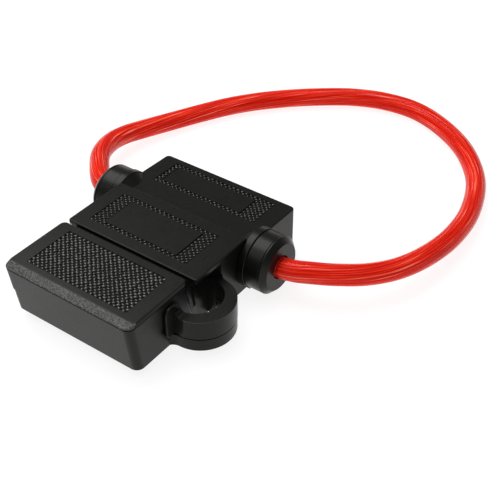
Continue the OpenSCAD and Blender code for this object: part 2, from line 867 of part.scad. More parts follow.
module wire_loop() {
    pts = [for (i = [0 : lead_m - 1]) each lead_ring(i)];
    n = lead_sides;
    sides = [for (i = [0 : lead_m - 2], k = [0 : n - 1])
        [i * n + k, i * n + (k + 1) % n, (i + 1) * n + (k + 1) % n, (i + 1) * n + k]];
    ends = [[for (k = [n - 1 : -1 : 0]) k], [for (k = [0 : n - 1]) (lead_m - 1) * n + k]];
    color([0.8, 0.1, 0.08])
        polyhedron(points = pts, faces = concat(sides, ends), convexity = 6);
}

body_housing();
cap();
gland_cap_right();
gland_cap_left();
wire_seal_right();
wire_seal_left();
fuse_housing();
fuse_element();
terminal_right();
terminal_left();
terminal_spring_right();
terminal_spring_left();
conductor_right();
conductor_left();
jacket_end_right();
jacket_end_left();
wire_loop();
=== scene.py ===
"""Dresses the packed fuse holder: mouldings with rounded edges and grip textures, the fuse and its
contacts, the red lead, a pale studio and the camera. Lengths are in metres unless a name ends in
_mm: the mouldings are drawn in millimetres and scaled once, when they are finished."""

import math

import bmesh
import bpy
from mathutils import Matrix, Vector


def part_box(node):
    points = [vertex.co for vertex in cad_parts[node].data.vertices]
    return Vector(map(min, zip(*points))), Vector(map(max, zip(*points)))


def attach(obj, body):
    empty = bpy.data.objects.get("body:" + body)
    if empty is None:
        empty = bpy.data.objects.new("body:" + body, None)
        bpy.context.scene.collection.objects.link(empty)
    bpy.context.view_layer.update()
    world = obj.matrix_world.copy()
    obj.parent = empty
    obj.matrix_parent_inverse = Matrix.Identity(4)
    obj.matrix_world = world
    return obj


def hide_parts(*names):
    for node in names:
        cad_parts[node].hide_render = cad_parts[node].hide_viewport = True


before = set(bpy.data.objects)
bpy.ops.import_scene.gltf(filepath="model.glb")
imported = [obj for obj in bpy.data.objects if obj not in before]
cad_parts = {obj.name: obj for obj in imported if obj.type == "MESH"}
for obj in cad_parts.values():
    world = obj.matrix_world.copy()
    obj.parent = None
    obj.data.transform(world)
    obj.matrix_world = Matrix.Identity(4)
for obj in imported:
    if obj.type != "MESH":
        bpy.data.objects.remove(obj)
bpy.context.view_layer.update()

bl_info = {
    "name": "Fuse Holder",
    "version": (1, 0, 0),
    "blender": (4, 5, 0),
    "location": "View3D > Sidebar > Fuse Holder",
    "description": "Builds an in-line fuse holder with its loop of red lead",
    "category": "Object",
}

MM = 0.001


# ---------------------------------------------------------------- settings


class HousingSizes(bpy.types.PropertyGroup):
    """Sizes of the housing, in the CAD model's frame"""

    front_w: bpy.props.FloatProperty(name="Front width", description="Width of the raised front block",
        default=0.0377, unit="LENGTH", precision=5)
    front_h: bpy.props.FloatProperty(name="Front height", description="Height of the raised front block",
        default=0.0147, unit="LENGTH", precision=5)
    front_y: bpy.props.FloatProperty(name="Front edge", description="Place of the lip along the holder",
        default=-0.0081, unit="LENGTH", precision=5)
    step_y: bpy.props.FloatProperty(name="Step", description="Place of the step between the two blocks",
        default=0.0103, unit="LENGTH", precision=5)
    rear_w: bpy.props.FloatProperty(name="Rear width", description="Width of the rear block at the step",
        default=0.0396, unit="LENGTH", precision=5)
    rear_h: bpy.props.FloatProperty(name="Rear height", description="Height of the rear block at the step",
        default=0.0129, unit="LENGTH", precision=5)
    rear_y: bpy.props.FloatProperty(name="Rear end", description="Place of the rear end face",
        default=0.0291, unit="LENGTH", precision=5)
    edge: bpy.props.FloatProperty(name="Edge rounding", description="Rounding of the moulding's edges",
        default=0.0003, unit="LENGTH", precision=5)


class GlandSizes(bpy.types.PropertyGroup):
    """Sizes of the two side glands"""

    y: bpy.props.FloatProperty(name="Place", description="Place of the gland axis along the holder",
        default=0.0135, unit="LENGTH", precision=5)
    z: bpy.props.FloatProperty(name="Height", description="Height of the gland axis",
        default=0.0076, unit="LENGTH", precision=5)
    diameter: bpy.props.FloatProperty(name="Diameter", description="Outer diameter of a gland",
        default=0.0143, unit="LENGTH", precision=5)
    reach: bpy.props.FloatProperty(name="Reach", description="Middle of the holder to a gland's face",
        default=0.0263, unit="LENGTH", precision=5)
    bore: bpy.props.FloatProperty(name="Bore", description="Diameter of the hole for the lead",
        default=0.0057, unit="LENGTH", precision=5)


class CapSizes(bpy.types.PropertyGroup):
    """Sizes of the slide-off cap"""

    width: bpy.props.FloatProperty(name="Width", description="Width of the cap",
        default=0.0365, unit="LENGTH", precision=5)
    top: bpy.props.FloatProperty(name="Top", description="Height of the cap's top face",
        default=0.0158, unit="LENGTH", precision=5)
    low: bpy.props.FloatProperty(name="Underside", description="Height of the cap's underside",
        default=0.0022, unit="LENGTH", precision=5)
    length: bpy.props.FloatProperty(name="Length", description="Length along the top, front edge included",
        default=0.0192, unit="LENGTH", precision=5)
    corner: bpy.props.FloatProperty(name="Corner rounding", description="Rounding of the front corners",
        default=0.0019, unit="LENGTH", precision=5)


class GripSizes(bpy.types.PropertyGroup):
    """Sizes of the raised beads in the grip panels"""

    pitch: bpy.props.FloatProperty(name="Pitch", description="Distance between beads in a row",
        default=0.00129, unit="LENGTH", precision=5)
    row: bpy.props.FloatProperty(name="Row distance", description="Distance between rows of beads",
        default=0.00066, unit="LENGTH", precision=5)
    rise: bpy.props.FloatProperty(name="Rise", description="Height of a bead over its ground",
        default=0.00035, unit="LENGTH", precision=5)
    seed: bpy.props.IntProperty(name="Seed", description="Seed of the beads' small differences", default=5)


class LeadSizes(bpy.types.PropertyGroup):
    """Sizes of the red lead"""

    diameter: bpy.props.FloatProperty(name="Diameter", description="Outer diameter of the jacket",
        default=0.0052, unit="LENGTH", precision=5)
    lay: bpy.props.FloatProperty(name="Lay length", description="Length in which a strand goes round once",
        default=0.26, unit="LENGTH", precision=5)
    ridge: bpy.props.FloatProperty(name="Strand height", description="How far the strands show in the jacket",
        default=0.000035, unit="LENGTH", precision=6)


class Finishes(bpy.types.PropertyGroup):
    """Colours of the finishes"""

    moulding: bpy.props.FloatVectorProperty(name="Moulding", description="Colour of the black plastic",
        default=(0.0052, 0.0052, 0.0049), subtype="COLOR", size=3, min=0, max=1)
    # Much paler than the moulding: painted sheen of the light on the grained edge.
    grain: bpy.props.FloatVectorProperty(name="Grained edge", description="Colour of the cap's grained edge",
        default=(0.06, 0.0595, 0.056), subtype="COLOR", size=3, min=0, max=1)
    jacket: bpy.props.FloatVectorProperty(name="Jacket", description="Colour of the lead's jacket",
        default=(0.88, 0.0095, 0.0022), subtype="COLOR", size=3, min=0, max=1)
    fuse: bpy.props.FloatVectorProperty(name="Fuse", description="Colour of the fuse's body",
        default=(0.85, 0.25, 0.03), subtype="COLOR", size=3, min=0, max=1)


def settings(name):
    return getattr(bpy.context.scene, name)


# ---------------------------------------------------------------- mesh tools, in millimetres


def prism(outline, low, high, axis):
    """A bmesh of a straight prism. The outline is in (y, z), (x, z) or (x, y) for axis x, y or z."""
    put = {"x": lambda p, t: (t, p[0], p[1]), "y": lambda p, t: (p[0], t, p[1]),
        "z": lambda p, t: (p[0], p[1], t)}[axis]
    return skin([[put(p, low) for p in outline], [put(p, high) for p in outline]])


def skin(rings):
    """A closed bmesh through rings of equally many points, with a flat face on each end."""
    bm = bmesh.new()
    rows = [[bm.verts.new(p) for p in ring] for ring in rings]
    n = len(rows[0])
    for a, b in zip(rows, rows[1:]):
        for k in range(n):
            bm.faces.new((a[k], a[(k + 1) % n], b[(k + 1) % n], b[k]))
    bm.faces.new(rows[0][::-1])
    bm.faces.new(rows[-1])
    bmesh.ops.recalc_face_normals(bm, faces=bm.faces[:])
    return bm


def soften(bm, width, pick, segments=3, least=20):
    """Rounds the edges for which pick(middle, direction) is true."""
    chosen = []
    for edge in bm.edges:
        if len(edge.link_faces) != 2 or math.degrees(edge.calc_face_angle(0)) < least:
            continue
        a, b = (v.co for v in edge.verts)
        if pick((a + b) / 2, (b - a).normalized()):
            chosen.append(edge)
    bmesh.ops.bevel(bm, geom=chosen, offset=width, offset_type="OFFSET", segments=segments,
        profile=0.5, affect="EDGES", clamp_overlap=True, loop_slide=True)
    return bm


def lathe(profile, axis_y, axis_z, sign=1, steps=96):
    """A closed bmesh turned round the line along X through (axis_y, axis_z). The profile is (x, r)
    from the first to the last point; zero first and last radii give a solid with flat ends."""
    bm = bmesh.new()
    solid = profile[0][1] < 1e-6
    rows = [[bm.verts.new((sign * x, axis_y + r * math.cos(2 * math.pi * k / steps),
        axis_z + r * math.sin(2 * math.pi * k / steps))) for k in range(steps)]
        for x, r in profile if r > 1e-6]
    for a, b in list(zip(rows, rows[1:])) + ([] if solid else [(rows[-1], rows[0])]):
        for k in range(steps):
            bm.faces.new((a[k], a[(k + 1) % steps], b[(k + 1) % steps], b[k]))
    if solid:
        bm.faces.new(rows[0][::-1])
        bm.faces.new(rows[-1])
    bmesh.ops.recalc_face_normals(bm, faces=bm.faces[:])
    return bm


def scratch(bm, name="scratch"):
    """An object of that bmesh, in millimetres, for joining and cutting."""
    mesh = bpy.data.meshes.new(name)
    bm.to_mesh(mesh)
    bm.free()
    obj = bpy.data.objects.new(name, mesh)
    bpy.context.scene.collection.objects.link(obj)
    return obj


def baked(obj):
    """Replaces an object's mesh by its evaluated one and clears its modifiers."""
    graph = bpy.context.evaluated_depsgraph_get()
    mesh = bpy.data.meshes.new_from_object(obj.evaluated_get(graph))
    old = obj.data
    obj.modifiers.clear()
    obj.data = mesh
    if old.users == 0:
        bpy.data.meshes.remove(old)
    return obj


def combine(base, bm, how):
    """Joins a solid to base ("UNION"), cuts it out ("DIFFERENCE") or keeps the shared part ("INTERSECT")."""
    tool = scratch(bm)
    mod = base.modifiers.new("combine", "BOOLEAN")
    mod.operation = how
    mod.solver = "EXACT"
    mod.object = tool
    baked(base)
    mesh = tool.data
    bpy.data.objects.remove(tool)
    bpy.data.meshes.remove(mesh)
    if not base.data.polygons:
        raise RuntimeError(f"{base.name}: nothing is left after {how}")
    return base


def tidy(obj, name, sharp=38, scale=MM):
    """Cleans a moulding, sets its smooth shading, scales it to metres and names it."""
    bm = bmesh.new()
    bm.from_mesh(obj.data)
    bmesh.ops.remove_doubles(bm, verts=bm.verts[:], dist=0.002)
    bmesh.ops.dissolve_degenerate(bm, edges=bm.edges[:], dist=0.002)
    bmesh.ops.dissolve_limit(bm, angle_limit=math.radians(0.6), verts=bm.verts[:], edges=bm.edges[:],
        delimit={"MATERIAL"})
    for face in bm.faces:
        face.smooth = True
    bm.to_mesh(obj.data)
    bm.free()
    obj.data.set_sharp_from_angle(angle=math.radians(sharp))
    obj.data.transform(Matrix.Scale(scale, 4))
    mod = obj.modifiers.new("normals", "WEIGHTED_NORMAL")
    mod.keep_sharp = True
    mod.weight = 70
    baked(obj)
    obj.name = name
    obj.data.name = name
    return obj


def arc(cx, cy, r, start, end, steps):
    """Points on an arc, from start to end in degrees, both included."""
    return [(cx + r * math.cos(math.radians(start + (end - start) * k / steps)),
        cy + r * math.sin(math.radians(start + (end - start) * k / steps))) for k in range(steps + 1)]


def round_rectangle(x0, x1, y0, y1, radii, steps=6):
    """Points of a rectangle, its corners rounded by radii at (x0,y0), (x1,y0), (x1,y1), (x0,y1)."""
    a, b, c, d = [max(r, 0.001) for r in radii]
    return (arc(x0 + a, y0 + a, a, 180, 270, steps) + arc(x1 - b, y0 + b, b, 270, 360, steps)
        + arc(x1 - c, y1 - c, c, 0, 90, steps) + arc(x0 + d, y1 - d, d, 90, 180, steps))


def along_y(y0, y1, w, h, mid_z, r, steps=8):
    """A rounded bar along Y round the fuse's axis."""
    return prism(round_rectangle(-w / 2, w / 2, mid_z - h / 2, mid_z + h / 2, [r] * 4, steps), y0, y1, "y")


def block(low, high):
    return prism([(low[0], low[1]), (high[0], low[1]), (high[0], high[1]), (low[0], high[1])],
        low[2], high[2], "z")


# ---------------------------------------------------------------- finishes


def new_finish(name):
    material = bpy.data.materials.new(name)
    material.use_nodes = True
    tree = material.node_tree
    tree.nodes.clear()
    out = tree.nodes.new("ShaderNodeOutputMaterial")
    shader = tree.nodes.new("ShaderNodeBsdfPrincipled")
    tree.links.new(shader.outputs[0], out.inputs["Surface"])
    return material, tree, shader


def add(tree, kind, **values):
    node = tree.nodes.new(kind)
    for key, value in values.items():
        if hasattr(node, key):
            setattr(node, key, value)
        else:
            node.inputs[key].default_value = value
    return node


def noise(tree, vector, scale, detail=2.0, roughness=0.5):
    node = tree.nodes.new("ShaderNodeTexNoise")
    node.inputs["Scale"].default_value = scale
    node.inputs["Detail"].default_value = detail
    node.inputs["Roughness"].default_value = roughness
    tree.links.new(vector, node.inputs["Vector"])
    return node.outputs["Fac"]


def span(tree, value, low, high, out_low, out_high):
    """Maps a value from one range to another."""
    node = tree.nodes.new("ShaderNodeMapRange")
    for key, number in (("From Min", low), ("From Max", high), ("To Min", out_low), ("To Max", out_high)):
        node.inputs[key].default_value = number
    tree.links.new(value, node.inputs["Value"])
    return node.outputs["Result"]


def blend_colours(tree, amount, first, second):
    """Mixes two colours by amount. The first may also be an output of another node."""
    node = tree.nodes.new("ShaderNodeMix")
    node.data_type = "RGBA"
    sockets = {socket.name: socket for socket in node.inputs if socket.type == "RGBA"}
    if isinstance(first, tuple):
        sockets["A"].default_value = (*first, 1)
    else:
        tree.links.new(first, sockets["A"])
    sockets["B"].default_value = (*second, 1)
    tree.links.new(amount, node.inputs[0])
    return [s for s in node.outputs if s.type == "RGBA"][0]


def bump(tree, height, strength, distance, normal=None):
    node = tree.nodes.new("ShaderNodeBump")
    node.inputs["Strength"].default_value = strength
    node.inputs["Distance"].default_value = distance
    tree.links.new(height, node.inputs["Height"])
    if normal is not None:
        tree.links.new(normal, node.inputs["Normal"])
    return node.outputs["Normal"]


def tinted(colour, factor):
    return tuple(min(1.0, c * factor) for c in colour)


def moulded_plastic(name, colour, roughness=0.3, grain=1.0, gloss=0.19):
    """Black moulded plastic: fine spark-eroded grain, faint flow clouds, slightly uneven gloss."""
    material, tree, shader = new_finish(name)
    place = tree.nodes.new("ShaderNodeTexCoord").outputs["Object"]
    clouds = noise(tree, place, 140, 3, 0.55)
    fine = noise(tree, place, 5200, 2, 0.6)
    drawn = tree.nodes.new("ShaderNodeMapping")
    drawn.inputs["Scale"].default_value = (1.0, 0.14, 0.6)
    tree.links.new(place, drawn.inputs["Vector"])
    lines = noise(tree, drawn.outputs["Vector"], 2600, 2, 0.5)
    tone = blend_colours(tree, span(tree, clouds, 0.3, 0.7, 0, 1), tinted(colour, 0.88), tinted(colour, 1.14))
    tree.links.new(tone, shader.inputs["Base Color"])
    tree.links.new(span(tree, lines, 0.3, 0.7, roughness - 0.03, roughness + 0.04), shader.inputs["Roughness"])
    rough = bump(tree, lines, 0.10 * grain, 0.00001)
    tree.links.new(bump(tree, fine, 0.16 * grain, 0.00001, rough), shader.inputs["Normal"])
    shader.inputs["Specular IOR Level"].default_value = gloss
    shader.inputs["Specular Tint"].default_value = (1, 1, 0.94, 1)
    return material


def grained_plastic_painted_sheen(name, colour):
    """The cap's sloped front edge: a coarse, sandy grain, with its pale tone and bright specks painted sheen and
    glints of the light falling on it.
    """
    material, tree, shader = new_finish(name)
    place = tree.nodes.new("ShaderNodeTexCoord").outputs["Object"]
    specks = noise(tree, place, 2700, 3, 0.7)
    clouds = noise(tree, place, 500, 2, 0.5)
    # Painted sheen: the specks run from near black to pale grey, far lighter than the moulding.
    tone = blend_colours(tree, span(tree, specks, 0.42, 0.62, 0, 1), tinted(colour, 0.06), tinted(colour, 1.9))
    tree.links.new(tone, shader.inputs["Base Color"])
    tree.links.new(span(tree, clouds, 0.3, 0.7, 0.5, 0.68), shader.inputs["Roughness"])
    tree.links.new(bump(tree, specks, 1.0, 0.00012), shader.inputs["Normal"])
    return material


def red_jacket(name, colour):
    """Red translucent jacket, glossy, with the twisted strands showing through it and painted highlight streaks along
    them.
    """
    material, tree, shader = new_finish(name)
    strand = tree.nodes.new("ShaderNodeAttribute")
    strand.attribute_name = "strand"
    lines = noise(tree, strand.outputs["Vector"], 8.5, 2, 0.55)
    drift = noise(tree, strand.outputs["Vector"], 1.6, 2, 0.5)
    # Strand lines in darker and lighter red: the lighter lines are partly painted highlight, and the near-white
    # streaks on the brightest lines are painted highlights.
    tone = blend_colours(tree, span(tree, lines, 0.42, 0.66, 0, 1), tinted(colour, 0.68), (min(1, colour[0] * 1.12),
        colour[1] * 4.5, colour[2] * 8))
    tone = blend_colours(tree, span(tree, lines, 0.62, 0.72, 0, 0.7), tone, (1.0, 0.36, 0.27))
    tree.links.new(tone, shader.inputs["Base Color"])
    tree.links.new(span(tree, drift, 0.3, 0.7, 0.13, 0.22), shader.inputs["Roughness"])
    tree.links.new(bump(tree, lines, 0.4, 0.00008), shader.inputs["Normal"])
    shader.inputs["Subsurface Weight"].default_value = 0.2
    shader.inputs["Subsurface Radius"].default_value = (1.0, 0.1, 0.05)
    shader.inputs["Subsurface Scale"].default_value = 0.0008
    shader.inputs["Specular IOR Level"].default_value = 0.09
    return material


def worked_metal(name, colour, roughness, brushed=(1, 1, 1), scale=900):
    """Sheet metal with fine drawing marks along one direction."""
    material, tree, shader = new_finish(name)
    place = tree.nodes.new("ShaderNodeTexCoord").outputs["Object"]
    mapping = tree.nodes.new("ShaderNodeMapping")
    mapping.inputs["Scale"].default_value = brushed
    tree.links.new(place, mapping.inputs["Vector"])
    marks = noise(tree, mapping.outputs["Vector"], scale, 3, 0.6)
    clouds = noise(tree, place, 220, 3, 0.6)
    tone = blend_colours(tree, span(tree, clouds, 0.3, 0.7, 0, 1), tinted(colour, 0.82), tinted(colour, 1.08))
    tree.links.new(tone, shader.inputs["Base Color"])
    tree.links.new(span(tree, marks, 0.3, 0.7, roughness - 0.08, roughness + 0.1), shader.inputs["Roughness"])
    tree.links.new(bump(tree, marks, 0.25, 0.00002), shader.inputs["Normal"])
    shader.inputs["Metallic"].default_value = 1.0
    return material


def clear_plastic(name, colour):
    """Coloured see-through plastic of the fuse's body."""
    material, tree, shader = new_finish(name)
    place = tree.nodes.new("ShaderNodeTexCoord").outputs["Object"]
    clouds = noise(tree, place, 260, 2, 0.5)
    tone = blend_colours(tree, span(tree, clouds, 0.3, 0.7, 0, 1), tinted(colour, 0.92), tinted(colour, 1.06))
    tree.links.new(tone, shader.inputs["Base Color"])
    tree.links.new(span(tree, clouds, 0.3, 0.7, 0.1, 0.18), shader.inputs["Roughness"])
    tree.links.new(bump(tree, clouds, 0.1, 0.00002), shader.inputs["Normal"])
    shader.inputs["Transmission Weight"].default_value = 0.55
    shader.inputs["IOR"].default_value = 1.49
    return material


def soft_rubber(name, colour):
    material, tree, shader = new_finish(name)
    place = tree.nodes.new("ShaderNodeTexCoord").outputs["Object"]
    bloom = noise(tree, place, 700, 3, 0.6)
    tone = blend_colours(tree, span(tree, bloom, 0.3, 0.7, 0, 1), tinted(colour, 0.85), tinted(colour, 1.3))
    tree.links.new(tone, shader.inputs["Base Color"])
    tree.links.new(span(tree, bloom, 0.3, 0.7, 0.6, 0.75), shader.inputs["Roughness"])
    tree.links.new(bump(tree, bloom, 0.3, 0.00003), shader.inputs["Normal"])
    return material


def stranded_copper(name):
    """Bare copper rope: the strands lie askew round the rod's own line along X."""
    material, tree, shader = new_finish(name)
    place = tree.nodes.new("ShaderNodeTexCoord").outputs["Object"]
    turn = tree.nodes.new("ShaderNodeMapping")
    turn.inputs["Rotation"].default_value = (0, 0, math.radians(22))
    tree.links.new(place, turn.inputs["Vector"])
    wave = tree.nodes.new("ShaderNodeTexWave")
    wave.bands_direction = "Y"
    wave.inputs["Scale"].default_value = 420
    wave.inputs["Distortion"].default_value = 0.6
    tree.links.new(turn.outputs["Vector"], wave.inputs["Vector"])
    tone = blend_colours(tree, wave.outputs["Fac"], (0.32, 0.11, 0.05), (0.86, 0.45, 0.28))
    tree.links.new(tone, shader.inputs["Base Color"])
    tree.links.new(bump(tree, wave.outputs["Fac"], 0.7, 0.0001), shader.inputs["Normal"])
    shader.inputs["Metallic"].default_value = 1.0
    shader.inputs["Roughness"].default_value = 0.3
    return material


FINISHES = {}


def finish(name):
    """The finish of that name, made once."""
    if name not in FINISHES:
        colours = settings("holder_finishes")
        make = {
            "moulding": lambda: moulded_plastic("moulding", tuple(colours.moulding)),
            "beads": lambda: moulded_plastic("beads", tinted(tuple(colours.moulding), 1.0), 0.17, 0.2, 0.8),
            # Painted highlight: the moulding five times lighter, for edges that catch the light.
            "painted_highlight_edge": lambda: moulded_plastic("painted_highlight_edge", tinted(tuple(colours.moulding), 5.0), 0.16, 0.2, 0.7),
            # Painted shade: the moulding darkened for the recess floors between the beads, which are also rougher and
            # less glossy.
            "panel_ground_painted_shade": lambda: moulded_plastic("panel_ground_painted_shade", tinted(tuple(colours.moulding), 0.6), 0.45, 1.0, 0.12),
            # Real grain with painted sheen: a tone much paler than the moulding, for the light falling on the band.
            "grained_edge_painted_sheen": lambda: grained_plastic_painted_sheen("grained_edge_painted_sheen", tuple(colours.grain)),
            "jacket": lambda: red_jacket("jacket", tuple(colours.jacket)),
            "jacket_end": lambda: soft_rubber("jacket_end", tinted(tuple(colours.jacket), 0.8)),
            "seal": lambda: soft_rubber("seal", (0.02, 0.02, 0.02)),
            "fuse_body": lambda: clear_plastic("fuse_body", tuple(colours.fuse)),
            "zinc": lambda: worked_metal("zinc", (0.62, 0.63, 0.65), 0.38, (1, 0.1, 1)),
            "tinned_brass": lambda: worked_metal("tinned_brass", (0.74, 0.70, 0.60), 0.3, (0.1, 1, 1)),
            "spring_steel": lambda: worked_metal("spring_steel", (0.55, 0.56, 0.58), 0.25, (1, 0.1, 1)),
            "copper": lambda: stranded_copper("copper"),
        }
        FINISHES[name] = make[name]()
    return FINISHES[name]


def wear(obj, finish_name):
    """Gives a piece its finish and the record's material slot."""
    obj.data.materials.clear()
    obj.data.materials.append(finish(finish_name))


# ---------------------------------------------------------------- lead

# The route of part.scad, in metres
LEAD_ROUTE = [(x * MM, y * MM, z * MM) for x, y, z in (
    (26.3, 13.5, 7.6), (29.4, 13.9, 7.8), (32.3, 15.1, 7.9), (38.2, 18.5, 7.8), (43.6, 23.4, 7.3),
    (47.8, 30.2, 6.6), (50.3, 39.3, 5.6), (51.2, 50.7, 4.5), (49.6, 63.7, 3.5), (44.5, 77.5, 2.9),
    (35.8, 88.7, 2.8), (25.4, 96.1, 2.8), (14.8, 100, 2.8), (4.8, 99.6, 2.8), (-3.8, 96.4, 2.8),
    (-11.5, 91.2, 2.8), (-18.7, 85.1, 2.8), (-25.4, 78.1, 2.8), (-31, 70.5, 2.8), (-35.6, 62, 2.8),
    (-39.4, 53.1, 3.1), (-42.4, 44.4, 3.8), (-43.5, 38.7, 4.6), (-43, 32.4, 5.6), (-39.9, 25.2, 6.8),
    (-34.6, 18.9, 7.5), (-30.2, 15, 7.7), (-26.3, 13.5, 7.6))]


def glide(a, b, c, d, t):
    """Point at t on the smooth curve through four points, between b and c."""
    return 0.5 * ((2 * b) + (c - a) * t + (2 * a - 5 * b + 4 * c - d) * t * t
        + (3 * b - a - 3 * c + d) * t * t * t)


def lead_line(step=0.0006):
    """Evenly spaced points on the lead's middle line, gland face to gland face."""
    route = [Vector(p) for p in LEAD_ROUTE]
    route = [route[0] - Vector((0.003, 0, 0))] + route + [route[-1] + Vector((0.003, 0, 0))]
    dense = []
    for i in range(1, len(route) - 2):
        for k in range(60):
            dense.append(glide(route[i - 1], route[i], route[i + 1], route[i + 2], k / 60))
    dense.append(route[-2])
    reach = [0.0]
    for a, b in zip(dense, dense[1:]):
        reach.append(reach[-1] + (b - a).length)
    count = max(2, round(reach[-1] / step))
    line, k = [], 0
    for i in range(count + 1):
        s = reach[-1] * i / count
        while k < len(reach) - 2 and reach[k + 1] < s:
            k += 1
        part = (s - reach[k]) / max(1e-9, reach[k + 1] - reach[k])
        line.append(dense[k].lerp(dense[k + 1], min(1, max(0, part))))
    return line, reach[-1]


def strand_height(phase):
    """Height of the strands' ridges round the jacket, from about -1 to 1."""
    return (0.5 * math.cos(24 * phase) + 0.3 * math.cos(17 * phase + 1.1) + 0.2 * math.cos(9 * phase + 2.3)
        + 0.2 * math.cos(5 * phase + 0.4))


class FUSEHOLDER_OT_lead(bpy.types.Operator):
    """Make the red lead: one tube along the route, its jacket drawn in round the twisted strands"""

    bl_idname = "fuse_holder.lead"
    bl_label = "Lead"

    def execute(self, context):
        sizes = settings("holder_lead")
        line, length = lead_line(0.0009)
        around = 120
        radius = sizes.diameter / 2 - sizes.ridge * 0.5
        bm = bmesh.new()
        strand = bm.verts.layers.float_vector.new("strand")
        rows = []
        travelled = 0.0
        for i, point in enumerate(line):
            if i:
                travelled += (point - line[i - 1]).length
            if i == 0 or i == len(line) - 1:
                ahead = Vector((1, 0, 0))
            else:
                ahead = (line[i + 1] - line[i - 1]).normalized()
            side = ahead.cross(Vector((0, 0, 1))).normalized()
            up = side.cross(ahead)
            twist = 2 * math.pi * travelled / sizes.lay
            fade = min(1.0, travelled / 0.0006, (length - travelled) / 0.0006)
            row = []
            for k in range(around):
                angle = 2 * math.pi * k / around
                phase = angle - twist
                r = radius + sizes.ridge * fade * strand_height(phase)
                vert = bm.verts.new(point + r * (math.cos(angle) * side + math.sin(angle) * up))
                vert[strand] = (math.cos(phase), math.sin(phase), travelled * 7)
                row.append(vert)
            rows.append(row)
        for a, b in zip(rows, rows[1:]):
            for k in range(around):
                bm.faces.new((a[k], a[(k + 1) % around], b[(k + 1) % around], b[k])).smooth = True
        bm.faces.new(rows[0][::-1])
        bm.faces.new(rows[-1])
        bmesh.ops.recalc_face_normals(bm, faces=bm.faces[:])
        lead = scratch(bm, "lead_jacket")
        wear(lead, "jacket")
        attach(lead, "holder")
        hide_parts("wire_loop")
        return {"FINISHED"}


# ---------------------------------------------------------------- housing


def ear_outline(r, wall, front_fillet, rear_fillet, root):
    """Plan of an ear, in millimetres, counter-clockwise: outer arc with its fillets, then the hole."""
    cx, cy = 19.85, -8.05
    hx, hy, hr = 18.5, -7.65, 6.15
    fillet = 2.5
    turn = math.acos((wall + fillet - cx) / (r + fillet))
    reach = (r + fillet) * math.sin(turn)
    meet = math.degrees(turn)
    points = []
    if front_fillet:
        points += arc(wall + fillet, cy - reach, fillet, 180, 180 - meet, 10)
    else:
        points += [(wall + 0.1, cy - math.sqrt(r * r - (cx - wall - 0.1) ** 2))]
    points += arc(cx, cy, r, -meet, meet, 60)[1:-1]
    if rear_fillet:
        points += arc(wall + fillet, cy + reach, fillet, 180 + meet, 180, 10)
        points.append((root, cy + reach))
    else:
        meet_plain = math.degrees(math.acos((wall - cx) / r))
        points.append((cx + r * math.cos(math.radians(meet_plain)), cy + r * math.sin(math.radians(meet_plain))))
    points.append((root, hy + hr))
    opening = math.degrees(math.acos((wall - hx) / hr)) if abs(wall - hx) < hr else 90
    points += arc(hx, hy, hr, opening, -opening, 44)
    if not front_fillet:
        points[-1] = (wall + 0.1, points[-1][1])
    return points


